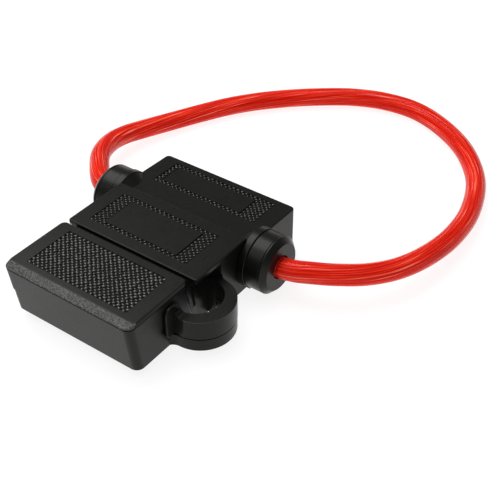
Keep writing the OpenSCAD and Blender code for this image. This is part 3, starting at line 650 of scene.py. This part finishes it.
class FUSEHOLDER_OT_housing(bpy.types.Operator):
    """Make the housing: two blocks, spigot, gland roots, the upper ear with its tab, and the recesses"""

    bl_idname = "fuse_holder.housing"
    bl_label = "Housing"

    def execute(self, context):
        s = settings("holder_housing")
        g = settings("holder_glands")
        fw, fh, fy = s.front_w / MM / 2, s.front_h / MM, s.front_y / MM
        step, rw, rh, ry = s.step_y / MM, s.rear_w / MM / 2, s.rear_h / MM, s.rear_y / MM
        edge = s.edge / MM
        rh_end = rh - 0.5
        gy, gz, gr, gx, gb = g.y / MM, g.z / MM, g.diameter / MM / 2, g.reach / MM, g.bore / MM / 2

        # Front block with its lip
        front = prism([(fy + 3.2, 0), (step + 1, 0), (step + 1, rh - 2), (step, fh), (fy, fh),
            (fy, fh - 1.1), (fy + 0.7, fh - 1.1)], -fw, fw, "x")
        soften(front, 0.8, lambda m, d: abs(d.z) > 0.9 and m.y < fy + 0.1 and m.z > fh - 1.1, 5)
        soften(front, 0.5, lambda m, d: abs(d.z) > 0.9 and m.y < fy + 3 and m.z < fh - 1.2, 3)
        soften(front, edge, lambda m, d: m.z > fh - 0.01, 3)
        soften(front, 0.15, lambda m, d: abs(m.z - (fh - 1.1)) < 0.01 and m.y < fy + 0.5, 2)
        soften(front, 0.2, lambda m, d: m.z < 0.01, 2)
        body = scratch(front, "housing")

        # Rear block, falling and drawing in towards its end
        outline = [(-rw, step), (rw, step), (rw - 0.2, ry), (-rw + 0.2, ry)]
        rear = skin([[(x, y, 0) for x, y in outline],
            [(x, y, rh if y < step + 1 else rh_end) for x, y in outline]])
        soften(rear, 1.1, lambda m, d: abs(d.z) > 0.9 and m.y > ry - 0.1, 6)
        soften(rear, edge, lambda m, d: m.z > rh_end - 0.05 and m.y > step + 0.1, 3)
        soften(rear, 0.2, lambda m, d: abs(d.z) > 0.9 and m.y < step + 0.1, 2)
        soften(rear, 0.2, lambda m, d: m.z < 0.01, 2)
        combine(body, rear, "UNION")

        # Gland roots, each fading into the block with a cone
        for sign in (-1, 1):
            root = lathe([(rw - 3.4, 0), (rw - 3.4, rh - gz - 0.3), (rw - 0.8, gr), (rw - 0.79, gr + 0.2),
                (rw + 0.02, gr + 0.25), (rw + 0.85, gr + 0.25), (rw + 0.95, gr + 0.15), (rw + 0.97, gr - 0.14),
                (rw + 1.12, gr - 0.14), (rw + 1.14, gr - 0.02), (rw + 1.17, gr), (gx - 1.86, gr),
                (gx - 1.8, gr - 0.06), (gx - 1.8, 0)], gy, gz, sign)
            combine(body, root, "UNION")

        # Notch in line with the ear's hole
        combine(body, block((16.65, -13.7, -1), (21, -1.53, fh - 1.07)), "DIFFERENCE")
        slant = [(16.58, -13.6), (21.0, -13.6), (21.0, 2.95), (16.58, -1.47)]
        combine(body, prism(slant, 10.28, fh - 1.14, "z"), "DIFFERENCE")

        # Spigot that the cap slides over
        spigot = along_y(-19.1, fy + 4.2, 32.4, 10.9, 9, 1.2)
        soften(spigot, 0.3, lambda m, d: m.y < -19, 3)
        combine(body, spigot, "UNION")

        # Groove under the lip, so that the gap behind the cap is dark
        combine(body, block((-16.3, -9.95, 13.87), (16.3, -7.6, 14.3)), "DIFFERENCE")
        combine(body, block((-16.35, -9.94, 14.2), (16.35, fy + 0.012, 15.2)), "DIFFERENCE")

        # Upper ear and the tab that bears on the cap's side
        ear = prism(ear_outline(8.05, 18.55, False, True, 17.9), 5.5, 10.3, "z")
        far = lambda m: math.hypot(m.x - 19.85, m.y + 8.05) > 7.2 and m.x > 18.57
        soften(ear, 0.26, lambda m, d: m.z > 10.29 and far(m), 4)
        soften(ear, 0.2, lambda m, d: m.z > 10.29 and not far(m) and m.x > 18.4, 3)
        soften(ear, 0.12, lambda m, d: m.z < 5.51 and m.x > 18.57, 2)
        combine(body, ear, "UNION")
        tab = prism(round_rectangle(-18.7, -13.9, 5.7, 13.5, (1.1, 0.2, 1.7, 1.7), 8), 18.55, 19.1, "x")
        soften(tab, 0.2, lambda m, d: m.x > 19.09, 3)
        combine(body, tab, "UNION")
        # The ear's top sweeps up into the tab
        sweep = [(18.7, 9.9), (20.6, 9.9), (20.6, 10.31)]
        sweep += [(20.5 - 1.5 * math.sin(math.radians(a)), 11.8 - 1.5 * math.cos(math.radians(a)))
            for a in range(10, 81, 10)]
        sweep += [(18.95, 12.0), (18.7, 12.0)]
        flare = scratch(prism(sweep, -18.45, -12.5, "y"))
        plan = [(18.5, -15.9)] + arc(19.85, -8.05, 7.98, -97, -50, 20)
        plan += arc(18.5, -7.65, 6.16, -50, -85, 20) + [(19.0, -14.2), (18.5, -14.6)]
        combine(flare, prism(plan, 9, 13.2, "z"), "INTERSECT")
        join = bmesh.new()
        join.from_mesh(flare.data)
        bpy.data.objects.remove(flare)
        combine(body, join, "UNION")

        # Socket, chambers and bores
        combine(body, block((-14.8, -20, 4.35), (14.8, -5.2, 13.65)), "DIFFERENCE")
        for sign in (-1, 1):
            x0, x1 = sorted((sign * 1.0, sign * 14.8))
            combine(body, block((x0, -5.21, 4.35), (x1, 8.5, 13.65)), "DIFFERENCE")
            combine(body, block((x0, 8.49, 2), (x1, ry - 1.8, 10.6)), "DIFFERENCE")
            combine(body, lathe([(13.8, 0), (13.8, gb), (20.3, gb), (20.3, 5.2), (gx + 1, 5.2), (gx + 1, 0)],
                gy, gz, sign, 64), "DIFFERENCE")

        # Recessed grip frames
        combine(body, self.recess((-14.95, 13.55, -5.0, 7.2), (-11.15, 9.75, -3.7, 5.9), lambda y: fh), "DIFFERENCE")
        combine(body, self.recess((-15.2, 15.2, 18.1, 27.2), (-13.2, 10.2, 19.4, 25.9),
            lambda y: rh - 0.5 * (y - step) / (ry - step)), "DIFFERENCE")

        tidy(body, "housing_moulding")
        wear(body, "moulding")
        # Slot 1 is painted shade on the grip recesses' floors; slot 2 is painted highlight on the upper ear's rounded
        # top edges and on the recess walls that face the front.
        body.data.materials.append(finish("panel_ground_painted_shade"))
        body.data.materials.append(finish("painted_highlight_edge"))
        for face in body.data.polygons:
            x, y, z = face.center / MM
            ground = fh if y < step else rh - 0.5 * (y - step) / (ry - step)
            if face.normal.z > 0.9 and y > -5.1 and abs(z - ground + 0.25) < 0.04:
                face.material_index = 1
            # Painted highlight on these faces.
            rim = 10.08 < z < 10.299 and 0.15 < face.normal.z < 0.97 and x > 18.7 and y < 3
            wall = face.normal.y < -0.9 and y > -4 and 0.03 < ground - z < 0.22
            if rim or wall:
                face.material_index = 2
        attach(body, "holder")
        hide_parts("body_housing")
        return {"FINISHED"}

    def recess(self, outer, inner, top, depth=0.25):
        """A frame-shaped cutter that goes that deep into a top face of height top(y)."""
        bm = bmesh.new()
        loops = []
        for over in (False, True):
            for x0, x1, y0, y1 in (outer, inner):
                loops.append([bm.verts.new((x, y, top(y) + (1 if over else -depth)))
                    for x, y in ((x0, y0), (x1, y0), (x1, y1), (x0, y1))])
        low_out, low_in, high_out, high_in = loops
        for k in range(4):
            n = (k + 1) % 4
            bm.faces.new((low_out[k], low_out[n], low_in[n], low_in[k]))
            bm.faces.new((high_out[k], high_in[k], high_in[n], high_out[n]))
            bm.faces.new((low_out[k], high_out[k], high_out[n], low_out[n]))
            bm.faces.new((low_in[k], low_in[n], high_in[n], high_in[k]))
        bmesh.ops.recalc_face_normals(bm, faces=bm.faces[:])
        return bm


class FUSEHOLDER_OT_glands(bpy.types.Operator):
    """Make the end caps of the two glands"""

    bl_idname = "fuse_holder.glands"
    bl_label = "Gland caps"

    def execute(self, context):
        g = settings("holder_glands")
        gy, gz, r, gx, gb = g.y / MM, g.z / MM, g.diameter / MM / 2, g.reach / MM, g.bore / MM / 2
        for side, sign in (("right", 1), ("left", -1)):
            ring = lathe([(gx - 2.6, gb), (gx - 2.6, 5.15), (gx - 1.8, 5.15), (gx - 1.8, r - 0.15),
                (gx - 1.74, r - 0.15), (gx - 1.72, r - 0.03), (gx - 1.68, r), (gx - 1.3, r), (gx - 1.26, r - 0.015),
                (gx - 1.22, r - 0.05), (gx - 0.06, r - 1.24), (gx - 0.03, r - 1.27), (gx, r - 1.33),
                (gx, gb + 0.25), (gx - 0.08, gb + 0.08), (gx - 0.25, gb)], gy, gz, sign, 128)
            cap = scratch(ring, "gland_ring_" + side)
            tidy(cap, "gland_ring_" + side, sharp=40)
            wear(cap, "moulding")
            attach(cap, "holder")
            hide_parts("gland_cap_" + side)
        return {"FINISHED"}


# ---------------------------------------------------------------- cap


class FUSEHOLDER_OT_cap(bpy.types.Operator):
    """Make the cap: leaning front, grained edge, panel recess, hollow and the lower ear"""

    bl_idname = "fuse_holder.cap"
    bl_label = "Cap"

    def execute(self, context):
        c = settings("holder_cap")
        w, top, low = c.width / MM / 2, c.top / MM, c.low / MM
        front = -10 - c.length / MM
        corner = c.corner / MM
        slope_low, mid = top - 0.7, 8.5
        lean = lambda z: front + 1.7 * (slope_low - z) / (slope_low - low)
        mouth = lambda z: -10 + 3.2 * max(0.0, 13.6 - z) / 13.6

        def ring(z, inset, y0, r, rear):
            plan = round_rectangle(-w + inset, w - inset, y0, mouth(z), (r, r, rear, rear), 8)
            return [(x, y, z) for x, y in plan]

        shell = skin([
            ring(low, 0.15, lean(low) + 0.15, corner, 1.5),
            ring(mid - 0.14, 0.15, lean(mid) + 0.15, corner, 1.5),
            ring(mid, 0, lean(mid), corner, 1.5),
            ring(13.6, 0, lean(13.6), corner, 1.5),
            ring(slope_low - 0.37, 0, lean(slope_low - 0.37), corner, 1.5),
            ring(slope_low - 0.34, 0.1, lean(slope_low - 0.34) + 0.1, corner, 1.5),
            ring(slope_low - 0.18, 0.1, lean(slope_low - 0.18) + 0.1, corner, 1.5),
            ring(slope_low - 0.15, 0, lean(slope_low - 0.15), corner, 1.5),
            ring(slope_low, 0, front, corner, 1.5),
            ring(top, 0.25, front + 2.1, 0.9, 1.3),
        ])
        soften(shell, 0.13, lambda m, d: abs(m.z - slope_low) < 0.01 and m.y < front + 2.2, 3, 8)
        soften(shell, 0.22, lambda m, d: m.z > top - 0.01, 3, 8)
        soften(shell, 0.3, lambda m, d: m.z < low + 0.01 and m.y < -12, 3)
        cap = scratch(shell, "cap")

        # Lower ear, clear of the housing's side
        ear = prism(ear_outline(7.98, 17.5, True, False, 17.5), low, 5.2, "z")
        soften(ear, 0.18, lambda m, d: m.x > 18.3 and (m.z < low + 0.01 or m.z > 5.19), 2)
        ring_part = scratch(ear, "lower_ear")
        combine(ring_part, block((15, -9.1, 0), (19.15, 3, 8)), "DIFFERENCE")
        combine(ring_part, block((15, -0.1, 0), (30, 4, 8)), "DIFFERENCE")
        copy = bmesh.new()
        copy.from_mesh(ring_part.data)
        bpy.data.objects.remove(ring_part)
        combine(cap, copy, "UNION")

        # Room for the spigot, then for the fuse's head
        combine(cap, along_y(-19.3, 2, 33.0, 11.5, 9, 1.5), "DIFFERENCE")
        combine(cap, along_y(-26.8, -10, 30.8, 10.1, 9, 0.6), "DIFFERENCE")
        # Panel recess
        combine(cap, block((-14.3, front + 3.7, top - 0.25), (14.3, -12.1, top + 1)), "DIFFERENCE")

        tidy(cap, "cap_moulding")
        wear(cap, "moulding")
        # Slot 1 is the grained edge with painted sheen; slot 2 is painted shade on the panel recess's floor; slot 3
        # is painted highlight on the recess wall that faces the front.
        cap.data.materials.append(finish("grained_edge_painted_sheen"))
        cap.data.materials.append(finish("panel_ground_painted_shade"))
        cap.data.materials.append(finish("painted_highlight_edge"))
        for face in cap.data.polygons:
            middle, normal = face.center / MM, face.normal
            if normal.z > 0.55 and slope_low - 0.12 < middle.z < top - 0.05 and middle.y < front + 2.6:
                face.material_index = 1
            if normal.z > 0.9 and abs(middle.z - top + 0.25) < 0.04:
                face.material_index = 2
            if normal.y < -0.9 and middle.y > -13 and 0.03 < top - middle.z < 0.22:
                face.material_index = 3
        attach(cap, "cap")
        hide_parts("cap")
        return {"FINISHED"}


# ---------------------------------------------------------------- grip beads


def bead_tree():
    """Geometry Nodes: rows of staggered beads on a rectangle, left out inside an inner rectangle."""
    tree = bpy.data.node_groups.new("grip_beads", "GeometryNodeTree")
    face = tree.interface
    face.new_socket("Geometry", in_out="OUTPUT", socket_type="NodeSocketGeometry")
    inputs = (("Size X", "Float", 0.0286), ("Size Y", "Float", 0.0134), ("Columns", "Int", 22), ("Rows", "Int", 19),
        ("Blank Low", "Vector", (0, 0, 0)), ("Blank High", "Vector", (0, 0, 0)), ("Centre", "Vector", (0, 0, 0)),
        ("Tilt", "Float", 0.0), ("Bead Length", "Float", 0.0009), ("Bead Width", "Float", 0.0005),
        ("Bead Rise", "Float", 0.0003), ("Turn", "Float", 0.7), ("Seed", "Int", 5), ("Finish", "Material", None))
    for name, kind, default in inputs:
        socket = face.new_socket(name, in_out="INPUT", socket_type="NodeSocket" + kind)
        if default is not None:
            socket.default_value = default
    nodes, link = tree.nodes, tree.links.new
    given = nodes.new("NodeGroupInput").outputs
    out = nodes.new("NodeGroupOutput")

    def math_node(operation, a, b=None):
        node = nodes.new("ShaderNodeMath")
        node.operation = operation
        for slot, value in ((0, a), (1, b)):
            if value is None:
                continue
            if isinstance(value, (int, float)):
                node.inputs[slot].default_value = value
            else:
                link(value, node.inputs[slot])
        return node.outputs[0]

    grid = nodes.new("GeometryNodeMeshGrid")
    link(given["Size X"], grid.inputs["Size X"])
    link(given["Size Y"], grid.inputs["Size Y"])
    link(given["Columns"], grid.inputs["Vertices X"])
    link(given["Rows"], grid.inputs["Vertices Y"])

    # Odd rows move half a pitch along X
    index = nodes.new("GeometryNodeInputIndex").outputs[0]
    row = math_node("MODULO", index, given["Rows"])
    odd = math_node("MODULO", row, 2.0)
    pitch = math_node("DIVIDE", given["Size X"], given["Columns"])
    shift = math_node("MULTIPLY", math_node("SUBTRACT", odd, 0.5), math_node("MULTIPLY", pitch, 0.5))
    offset = nodes.new("ShaderNodeCombineXYZ")
    link(shift, offset.inputs[0])
    stagger = nodes.new("GeometryNodeSetPosition")
    link(grid.outputs["Mesh"], stagger.inputs["Geometry"])
    link(offset.outputs[0], stagger.inputs["Offset"])
    keep_odd = nodes.new("GeometryNodeStoreNamedAttribute")
    keep_odd.data_type = "FLOAT"
    keep_odd.domain = "POINT"
    keep_odd.inputs["Name"].default_value = "odd"
    link(stagger.outputs[0], keep_odd.inputs["Geometry"])
    link(odd, keep_odd.inputs["Value"])

    # No beads inside the blank rectangle
    place = nodes.new("ShaderNodeSeparateXYZ")
    link(nodes.new("GeometryNodeInputPosition").outputs[0], place.inputs[0])
    low = nodes.new("ShaderNodeSeparateXYZ")
    high = nodes.new("ShaderNodeSeparateXYZ")
    link(given["Blank Low"], low.inputs[0])
    link(given["Blank High"], high.inputs[0])
    inside = None
    for axis in (0, 1):
        for operation, limit in (("GREATER_THAN", low), ("LESS_THAN", high)):
            test = math_node(operation, place.outputs[axis], limit.outputs[axis])
            inside = test if inside is None else math_node("MULTIPLY", inside, test)
    drop = nodes.new("GeometryNodeDeleteGeometry")
    drop.domain = "POINT"
    link(keep_odd.outputs[0], drop.inputs["Geometry"])
    link(inside, drop.inputs["Selection"])

    # One bead: a low dome, longer than wide
    ball = nodes.new("GeometryNodeMeshUVSphere")
    ball.inputs["Segments"].default_value = 8
    ball.inputs["Rings"].default_value = 6
    ball.inputs["Radius"].default_value = 0.5
    size = nodes.new("ShaderNodeCombineXYZ")
    link(given["Bead Length"], size.inputs[0])
    link(given["Bead Width"], size.inputs[1])
    link(math_node("MULTIPLY", given["Bead Rise"], 2.0), size.inputs[2])
    form = nodes.new("GeometryNodeTransform")
    link(ball.outputs["Mesh"], form.inputs["Geometry"])
    link(size.outputs[0], form.inputs["Scale"])
    smooth = nodes.new("GeometryNodeSetShadeSmooth")
    link(form.outputs[0], smooth.inputs["Geometry"])

    # Turned one way in even rows and the other way in odd rows, as in a weave
    read = nodes.new("GeometryNodeInputNamedAttribute")
    read.data_type = "FLOAT"
    read.inputs["Name"].default_value = "odd"
    side = math_node("SUBTRACT", math_node("MULTIPLY", read.outputs[0], 2.0), 1.0)
    wobble = nodes.new("FunctionNodeRandomValue")
    wobble.data_type = "FLOAT"
    wobble.inputs[2].default_value = -0.7
    wobble.inputs[3].default_value = 0.7
    link(given["Seed"], wobble.inputs["Seed"])
    turn = math_node("ADD", math_node("MULTIPLY", side, given["Turn"]), wobble.outputs[1])
    angle = nodes.new("ShaderNodeCombineXYZ")
    link(turn, angle.inputs[2])
    spread = nodes.new("FunctionNodeRandomValue")
    spread.data_type = "FLOAT"
    spread.inputs[2].default_value = 0.78
    spread.inputs[3].default_value = 1.14
    link(math_node("ADD", given["Seed"], 7), spread.inputs["Seed"])
    beads = nodes.new("GeometryNodeInstanceOnPoints")
    link(drop.outputs[0], beads.inputs["Points"])
    link(smooth.outputs[0], beads.inputs["Instance"])
    link(angle.outputs[0], beads.inputs["Rotation"])
    link(spread.outputs[1], beads.inputs["Scale"])
    real = nodes.new("GeometryNodeRealizeInstances")
    link(beads.outputs[0], real.inputs[0])

    # Onto the panel
    tilt = nodes.new("ShaderNodeCombineXYZ")
    link(given["Tilt"], tilt.inputs[0])
    move = nodes.new("GeometryNodeTransform")
    link(real.outputs[0], move.inputs["Geometry"])
    link(given["Centre"], move.inputs["Translation"])
    link(tilt.outputs[0], move.inputs["Rotation"])
    dress = nodes.new("GeometryNodeSetMaterial")
    link(move.outputs[0], dress.inputs["Geometry"])
    link(given["Finish"], dress.inputs["Material"])
    link(dress.outputs[0], out.inputs[0])
    return tree


def grow_beads(tree, name, values):
    """Runs the bead tree with those named values and returns the plain mesh object."""
    holder = bpy.data.objects.new(name, bpy.data.meshes.new(name))
    bpy.context.scene.collection.objects.link(holder)
    mod = holder.modifiers.new("beads", "NODES")
    mod.node_group = tree
    sockets = {item.name: item.identifier for item in tree.interface.items_tree if item.in_out == "INPUT"}
    for key, value in values.items():
        mod[sockets[key]] = value
    mod[sockets["Finish"]] = finish("beads")
    graph = bpy.context.evaluated_depsgraph_get()
    mesh = bpy.data.meshes.new_from_object(holder.evaluated_get(graph))
    holder.modifiers.clear()
    bpy.data.objects.remove(holder)
    for extra in ("odd",):
        if extra in mesh.attributes:
            mesh.attributes.remove(mesh.attributes[extra])
    obj = bpy.data.objects.new(name, mesh)
    bpy.context.scene.collection.objects.link(obj)
    if not mesh.polygons:
        raise RuntimeError(f"{name}: the bead tree made nothing")
    return obj


class FUSEHOLDER_OT_grip(bpy.types.Operator):
    """Grow the beads of the cap's panel and of the two frames on the housing"""

    bl_idname = "fuse_holder.grip"
    bl_label = "Grip beads"

    def execute(self, context):
        grip, c, h = settings("holder_grip"), settings("holder_cap"), settings("holder_housing")
        tree = bead_tree()
        front = -0.010 - c.length
        fall = math.atan2(0.0005, h.rear_y - h.step_y)
        # name, body, first and last column, first and last row, blank rectangle, ground height, tilt
        panels = (
            ("cap_grip_beads", "cap", -0.0139, 0.0139, front + 0.00415, -0.01255, None, c.top - 0.00025, 0.0),
            ("front_grip_beads", "holder", -0.0145, 0.0131, -0.00468, 0.00688, (-0.01135, 0.00995, -0.0038, 0.006),
                h.front_h - 0.00025, 0.0),
            ("rear_grip_beads", "holder", -0.0147, 0.0147, 0.01842, 0.02688, (-0.0134, 0.0104, 0.0193, 0.026),
                h.rear_h - 0.00025, -fall),
        )
        for name, body, x0, x1, y0, y1, blank, ground, tilt in panels:
            cx, cy = (x0 + x1) / 2, (y0 + y1) / 2
            if tilt:
                ground = ground - math.tan(fall) * (cy - h.step_y)
            a, b, p, q = blank or (1, 1, 1, 1)
            woven = blank is None
            values = {
                "Size X": x1 - x0 - grip.pitch / 2, "Size Y": y1 - y0, "Columns": round((x1 - x0) / grip.pitch),
                "Rows": round((y1 - y0) / grip.row) + 1, "Centre": (cx, cy, ground), "Tilt": tilt,
                "Blank Low": (a - cx, p - cy, 0), "Blank High": (b - cx, q - cy, 0),
                "Bead Length": grip.pitch * (0.94 if woven else 0.74), "Bead Width": grip.row * (1.25 if woven else 0.95),
                "Bead Rise": grip.rise, "Turn": 0.62, "Seed": grip.seed,
            }
            beads = grow_beads(tree, name, values)
            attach(beads, body)
        return {"FINISHED"}


# ---------------------------------------------------------------- fuse and contacts


class FUSEHOLDER_OT_contacts(bpy.types.Operator):
    """Make the fuse's body and finish its element, the terminals, springs, seals and lead ends"""

    bl_idname = "fuse_holder.contacts"
    bl_label = "Fuse and contacts"

    def execute(self, context):
        low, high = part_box("fuse_housing")
        y0, y1 = low.y / MM, high.y / MM
        mid = (low.z + high.z) / 2 / MM
        head = along_y(y0, y0 + 9, 29.2, 8.9, mid, 1.1)
        soften(head, 0.5, lambda m, d: m.y < y0 + 0.01 or m.y > y0 + 8.99, 3)
        fuse = scratch(head, "fuse")
        shank = along_y(y0 + 8.5, y1, 27.2, 7.7, mid, 0.9)
        soften(shank, 0.4, lambda m, d: m.y > y1 - 0.01, 3)
        combine(fuse, shank, "UNION")
        combine(fuse, block((-12, y0 + 1.4, mid - 2.4), (12, y1 - 6, mid + 2.4)), "DIFFERENCE")
        for sign in (-1, 1):
            combine(fuse, block((sign * 10.5 - 4.05, y0 + 3.5, mid - 0.46), (sign * 10.5 + 4.05, y1 + 1, mid + 0.46)),
                "DIFFERENCE")
            combine(fuse, block((sign * 10.5 - 1.5, y0 - 1, mid - 0.6), (sign * 10.5 + 1.5, y0 + 3, mid + 0.6)),
                "DIFFERENCE")
        tidy(fuse, "fuse_body")
        wear(fuse, "fuse_body")
        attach(fuse, "holder")
        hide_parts("fuse_housing")
        for node, name in (("fuse_element", "zinc"), ("terminal_right", "tinned_brass"),
                ("terminal_left", "tinned_brass"), ("terminal_spring_right", "spring_steel"),
                ("terminal_spring_left", "spring_steel"), ("conductor_right", "copper"),
                ("conductor_left", "copper"), ("wire_seal_right", "seal"), ("wire_seal_left", "seal")):
            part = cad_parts[node]
            part.data.materials.clear()
            part.data.materials.append(finish(name))
        for side in ("right", "left"):
            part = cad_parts["jacket_end_" + side]
            part.data.materials.clear()
            part.data.materials.append(finish("jacket_end"))
        return {"FINISHED"}


# ---------------------------------------------------------------- camera, light and floor


class FUSEHOLDER_OT_camera(bpy.types.Operator):
    """Set the camera at the photograph's viewpoint"""

    bl_idname = "fuse_holder.camera"
    bl_label = "Camera"

    def execute(self, context):
        data = bpy.data.cameras.new("camera")
        data.lens = 73.12
        data.sensor_width = 36
        data.sensor_fit = "HORIZONTAL"
        data.clip_start = 0.01
        data.clip_end = 20
        camera = bpy.data.objects.new("camera", data)
        camera.location = (0.12524, -0.13562, 0.15581)
        camera.rotation_euler = (math.radians(90 - 38.676), 0, math.radians(35.847))
        context.scene.collection.objects.link(camera)
        context.scene.camera = camera
        return {"FINISHED"}


def lamp(name, place, aim, size, size_y, power, colour=(1, 1, 1)):
    data = bpy.data.lights.new(name, "AREA")
    data.shape = "RECTANGLE"
    data.size, data.size_y = size, size_y
    data.energy = power
    data.color = colour
    obj = bpy.data.objects.new(name, data)
    obj.location = place
    obj.rotation_euler = (Vector(aim) - Vector(place)).to_track_quat("-Z", "Y").to_euler()
    bpy.context.scene.collection.objects.link(obj)
    return obj


class FUSEHOLDER_OT_studio(bpy.types.Operator):
    """Set up the pale floor, the soft lamps and the surroundings"""

    bl_idname = "fuse_holder.studio"
    bl_label = "Studio"

    def execute(self, context):
        scene = context.scene
        scene.view_settings.view_transform = "Standard"

        # Floor: white, and keeps the object's soft shadow
        mesh = bpy.data.meshes.new("floor")
        mesh.from_pydata([(-3, -3, -0.0001), (3, -3, -0.0001), (3, 3, -0.0001), (-3, 3, -0.0001)], [], [(0, 1, 2, 3)])
        floor = bpy.data.objects.new("floor", mesh)
        scene.collection.objects.link(floor)
        material, tree, shader = new_finish("floor_white")
        shader.inputs["Base Color"].default_value = (0.22, 0.22, 0.22, 1)
        shader.inputs["Roughness"].default_value = 0.9
        shader.inputs["Specular IOR Level"].default_value = 0.1
        shader.inputs["Emission Color"].default_value = (1, 1, 1, 1)
        shader.inputs["Emission Strength"].default_value = 0.86
        mesh.materials.append(material)

        # Surroundings: white to the camera, pale at the sides and dim overhead in reflections
        world = bpy.data.worlds.new("surroundings")
        scene.world = world
        world.use_nodes = True
        tree = world.node_tree
        tree.nodes.clear()
        out = tree.nodes.new("ShaderNodeOutputWorld")
        path = tree.nodes.new("ShaderNodeLightPath")
        seen = tree.nodes.new("ShaderNodeBackground")
        seen.inputs["Strength"].default_value = 1.0
        seen.inputs["Color"].default_value = (1, 1, 1, 1)
        room = tree.nodes.new("ShaderNodeBackground")
        where = tree.nodes.new("ShaderNodeTexCoord")
        split = tree.nodes.new("ShaderNodeSeparateXYZ")
        tree.links.new(where.outputs["Generated"], split.inputs[0])
        ramp = tree.nodes.new("ShaderNodeValToRGB")
        for place, value in ((0.0, 0.8), (0.18, 0.6), (0.42, 0.16), (0.7, 0.3), (1.0, 0.4)):
            mark = ramp.color_ramp.elements.new(place) if place not in (0.0, 1.0) else ramp.color_ramp.elements[
                int(place)]
            mark.color = (value, value, value, 1)
        tree.links.new(split.outputs["Z"], ramp.inputs[0])
        tree.links.new(ramp.outputs["Color"], room.inputs["Color"])
        room.inputs["Strength"].default_value = 1.0
        mix = tree.nodes.new("ShaderNodeMixShader")
        tree.links.new(path.outputs["Is Camera Ray"], mix.inputs[0])
        tree.links.new(room.outputs[0], mix.inputs[1])
        tree.links.new(seen.outputs[0], mix.inputs[2])
        tree.links.new(mix.outputs[0], out.inputs["Surface"])

        lamp("key", (-0.26, 0.07, 0.54), (0.0, 0.03, 0.0), 0.42, 0.5, 2.4)
        lamp("fill", (-0.16, -0.34, 0.5), (0, 0.03, 0.0), 0.4, 0.4, 0.5)
        return {"FINISHED"}


# ---------------------------------------------------------------- panel and registration


STEPS = (
    ("camera", "Camera"), ("lead", "Lead"), ("housing", "Housing"), ("glands", "Gland caps"), ("cap", "Cap"),
    ("grip", "Grip beads"), ("contacts", "Fuse and contacts"), ("studio", "Studio"),
)

SETTINGS = (
    ("holder_housing", HousingSizes), ("holder_glands", GlandSizes), ("holder_cap", CapSizes),
    ("holder_grip", GripSizes), ("holder_lead", LeadSizes), ("holder_finishes", Finishes),
)


class FUSEHOLDER_PT_panel(bpy.types.Panel):
    """Sizes, colours and steps of the fuse holder"""

    bl_idname = "FUSEHOLDER_PT_panel"
    bl_label = "Fuse Holder"
    bl_space_type = "VIEW_3D"
    bl_region_type = "UI"
    bl_category = "Fuse Holder"

    def draw(self, context):
        for name, group in SETTINGS:
            box = self.layout.box()
            box.label(text=group.__doc__)
            for key in group.__annotations__:
                box.prop(getattr(context.scene, name), key)
        for step, label in STEPS:
            self.layout.operator("fuse_holder." + step, text=label)


OPERATORS = (FUSEHOLDER_OT_camera, FUSEHOLDER_OT_lead, FUSEHOLDER_OT_housing, FUSEHOLDER_OT_glands,
    FUSEHOLDER_OT_cap, FUSEHOLDER_OT_grip, FUSEHOLDER_OT_contacts, FUSEHOLDER_OT_studio)


def register():
    for name, group in SETTINGS:
        bpy.utils.register_class(group)
        setattr(bpy.types.Scene, name, bpy.props.PointerProperty(type=group))
    for operator in OPERATORS:
        bpy.utils.register_class(operator)
    bpy.utils.register_class(FUSEHOLDER_PT_panel)


def unregister():
    bpy.utils.unregister_class(FUSEHOLDER_PT_panel)
    for operator in reversed(OPERATORS):
        bpy.utils.unregister_class(operator)
    for name, group in reversed(SETTINGS):
        delattr(bpy.types.Scene, name)
        bpy.utils.unregister_class(group)


def main():
    register()
    for step, _ in STEPS:
        getattr(bpy.ops.fuse_holder, step)()
    bpy.context.view_layer.update()


if __name__ == "__main__":
    main()
